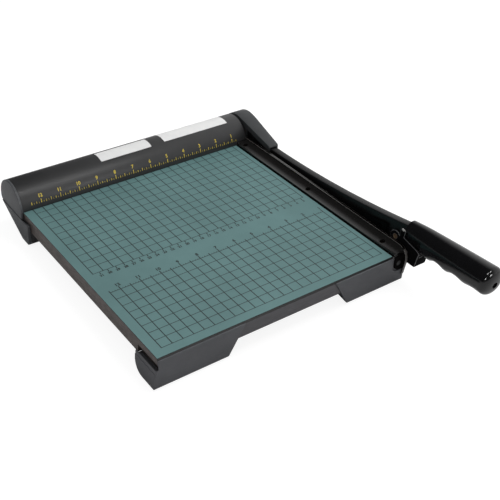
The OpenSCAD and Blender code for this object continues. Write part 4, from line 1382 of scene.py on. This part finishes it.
@dataclass
class SmoothCoil:
    """A spring drawn as round wire, in place of the CAD coil."""

    node: str
    body: Body
    wire_mm: float
    coil_mm: float
    turns: float
    pitch_mm: float
    steps: int = 24
    shade_angle: float = 60.0

    def build(self) -> None:
        """Sweep the wire along its helix, starting at the node's left end."""
        low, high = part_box(self.node)
        centre = (low + high) / 2
        curve = bpy.data.curves.new(self.node + "_curve", "CURVE")
        curve.dimensions = "3D"
        curve.bevel_depth = self.wire_mm * MM
        curve.bevel_resolution = 3
        curve.use_fill_caps = True
        count = int(self.turns * self.steps)
        spline = curve.splines.new("POLY")
        spline.points.add(count)
        for i, point in enumerate(spline.points):
            turn = 2 * math.pi * i / self.steps
            x = low.x + (self.wire_mm + self.pitch_mm * i / self.steps) * MM
            y = centre.y + self.coil_mm * MM * math.sin(turn)
            z = centre.z + self.coil_mm * MM * math.cos(turn)
            point.co = (x, y, z, 1)
        activate(link_object(self.node + "_wire", curve))
        bpy.ops.object.convert(target="MESH")
        piece = named(self.node + "_wire")
        smooth(piece, self.shade_angle)
        fit(piece, NODE_FINISH[self.node], self.body, self.node)


@dataclass
class Studio:
    """Plain pale floor, soft light, white surroundings and the camera at the photograph's angle."""

    place: tuple[float, float, float] = (-664.34, -548.75, 630.52)
    turn: tuple[float, float, float] = (55.595, -1.466, -34.34)
    lens: float = 64.912
    shift: tuple[float, float] = (0.084, -0.042)
    sensor: float = 36.0
    clip: tuple[float, float] = (0.05, 20.0)
    floor_size: float = 8.0
    card: str = "#dcdcdc"
    pale: str = "#808080"
    lift: float = 0.88
    ambient: float = 0.6
    gloss_low: float = 0.06
    gloss_high: float = 0.95
    gloss_from: tuple[float, float, float] = (1.0, 0.0, 0.0)
    gloss_edge: tuple[float, float] = (0.2, 0.65)
    aim: tuple[float, float, float] = (0.0, 0.0, 0.03)
    key_place: tuple[float, float, float] = (0.75, 0.1, 1.4)
    key_size: float = 1.15
    key_power: float = 15.5
    spark_size: float = 0.34
    spark_power: float = 8.0
    sparks: dict[str, tuple[float, float, float]] = field(
        default_factory=lambda: {
            "spark_low_left": (-1.15, -1.45, 0.75),
            "spark_low_right": (0.35, -1.82, 0.75),
            "spark_high_left": (-0.55, -0.65, 1.81),
            "spark_high_right": (0.3, -0.8, 1.81),
        }
    )

    def camera(self) -> None:
        """Set the camera that was solved from the printed grid."""
        lens = bpy.data.cameras.new("view")
        lens.lens = self.lens
        lens.sensor_width = self.sensor
        lens.shift_x, lens.shift_y = self.shift
        lens.clip_start, lens.clip_end = self.clip
        camera = link_object("view", lens)
        camera.location = DATUM.at(*self.place)
        camera.rotation_euler = [math.radians(a) for a in self.turn]
        bpy.context.scene.camera = camera

    def floor(self) -> None:
        """Lay the floor: pale card that the camera sees white, with the object's faint shadow."""
        bpy.ops.mesh.primitive_plane_add(size=self.floor_size)
        floor = named("floor")
        card = bpy.data.materials.new("pale_card")
        card.use_nodes = True
        tree = card.node_tree
        tree.nodes.clear()
        matte = add_node(tree, "ShaderNodeBsdfDiffuse", {"Color": linear(self.card)})
        pale = add_node(tree, "ShaderNodeBsdfDiffuse", {"Color": linear(self.pale)})
        glow = {"Color": linear("#ffffff"), "Strength": self.lift}
        lift = add_node(tree, "ShaderNodeEmission", glow)
        both = add_node(tree, "ShaderNodeAddShader", {0: pale.outputs[0], 1: lift.outputs[0]})
        path = add_node(tree, "ShaderNodeLightPath")
        seen = {0: path.outputs["Is Camera Ray"], 1: matte.outputs[0], 2: both.outputs[0]}
        mixed = add_node(tree, "ShaderNodeMixShader", seen)
        add_node(tree, "ShaderNodeOutputMaterial", {"Surface": mixed.outputs[0]})
        floor.data.materials.append(card)

    def surroundings(self) -> None:
        """Light the object evenly: white for the camera, a bank of light on the right for gloss."""
        world = bpy.data.worlds.new("pale_room")
        world.use_nodes = True
        bpy.context.scene.world = world
        tree = world.node_tree
        tree.nodes.clear()
        path = add_node(tree, "ShaderNodeLightPath")
        way = add_node(tree, "ShaderNodeTexCoord")
        facing = {0: way.outputs["Generated"], 1: self.gloss_from}
        toward = add_node(tree, "ShaderNodeVectorMath", facing, operation="DOT_PRODUCT")
        low, high = self.gloss_edge
        bank = {"Value": toward.outputs[1], "From Min": low, "From Max": high}
        span = {"To Min": self.gloss_low, "To Max": self.gloss_high}
        banked = add_node(tree, "ShaderNodeMapRange", bank | span)
        gloss = {0: path.outputs["Is Glossy Ray"], 2: self.ambient, 3: banked.outputs[0]}
        inner = add_node(tree, "ShaderNodeMix", gloss)
        clear = {0: path.outputs["Is Camera Ray"], 1: path.outputs["Is Transmission Ray"]}
        seen = add_node(tree, "ShaderNodeMath", clear, operation="MAXIMUM")
        level = add_node(tree, "ShaderNodeMix", {0: seen.outputs[0], 2: inner.outputs[0], 3: 1.0})
        shown = {"Color": (1, 1, 1, 1), "Strength": level.outputs[0]}
        back = add_node(tree, "ShaderNodeBackground", shown)
        add_node(tree, "ShaderNodeOutputWorld", {"Surface": back.outputs[0]})

    def lamp(self, name: str, place: Sequence[float], size: float, power: float) -> Piece:
        """Add one soft lamp aimed at the middle of the board.

        Args:
            name: The lamp's name.
            place: Its place, in metres.
            size: The side of its square face, in metres.
            power: Its power, in watts.

        Returns:
            The lamp.
        """
        light = bpy.data.lights.new(name, "AREA")
        light.size = size
        light.energy = power
        lamp = link_object(name, light)
        lamp.location = place
        aim = Vector(self.aim) - lamp.location
        lamp.rotation_euler = aim.to_track_quat("-Z", "Y").to_euler()
        return lamp

    def build(self) -> None:
        """Set up the camera, floor, surroundings and lamps."""
        self.camera()
        self.floor()
        self.surroundings()
        key = self.lamp("key", self.key_place, self.key_size, self.key_power)
        key.visible_glossy = False
        for name, place in self.sparks.items():
            spark = self.lamp(name, place, self.spark_size, self.spark_power)
            spark.visible_diffuse = False
        bpy.context.scene.view_settings.view_transform = "Standard"


def dress_nodes() -> None:
    """Give every CAD node its finish."""
    for name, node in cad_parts.items():
        node.data.materials.clear()
        node.data.materials.append(NODE_FINISH[name].material())


def main() -> None:
    """Build the studio and every dressed piece in order."""
    logging.basicConfig(level=logging.INFO, format="%(message)s")
    dress_nodes()
    Studio().build()
    parts = [
        SoftEdges("front_left_foot", Body.BASE, radius_mm=0.5),
        SoftEdges("front_right_foot", Body.BASE, radius_mm=0.5),
        SoftEdges("housing_end_cap", Body.BASE, radius_mm=0.6, segments=3),
        SoftEdges("ledger_rail", Body.BASE, radius_mm=0.25),
        SoftEdges("board_core", Body.BASE, radius_mm=0.3),
        SoftEdges("rear_housing", Body.BASE, radius_mm=0.3),
        SoftEdges("arm", Body.LEVER, radius_mm=0.8, segments=3),
        SoftEdges("hub_cover", Body.LEVER, radius_mm=0.7, segments=3),
        # The latch's rounded edges take a painted highlight
        SoftEdges("latch_lever", Body.LATCH, radius_mm=0.5, edge=LATCH_EDGE_HIGHLIGHT),
        Guard(),
        BoardPrint(),
        TubeWrap(),
        Grip(),
        CrossScrew("rail_screws", Body.BASE, Pointing.UP, ZINC),
        CrossScrew("foot_screws", Body.BASE, Pointing.DOWN, ZINC),
        CrossScrew("housing_screws", Body.BASE, Pointing.DOWN, ZINC),
        CrossScrew("bed_blade_screws", Body.BASE, Pointing.RIGHT, ZINC),
        CrossScrew("blade_screws", Body.LEVER, Pointing.LEFT, BLADE_SCREW),
        CrossScrew("cover_screw", Body.LEVER, Pointing.RIGHT, ZINC),
        SmoothCoil("latch_spring", Body.LEVER, wire_mm=0.5, coil_mm=3.9, turns=2.5, pitch_mm=1.5),
    ]
    for part in parts:
        part.build()


if __name__ == "__main__":
    main()
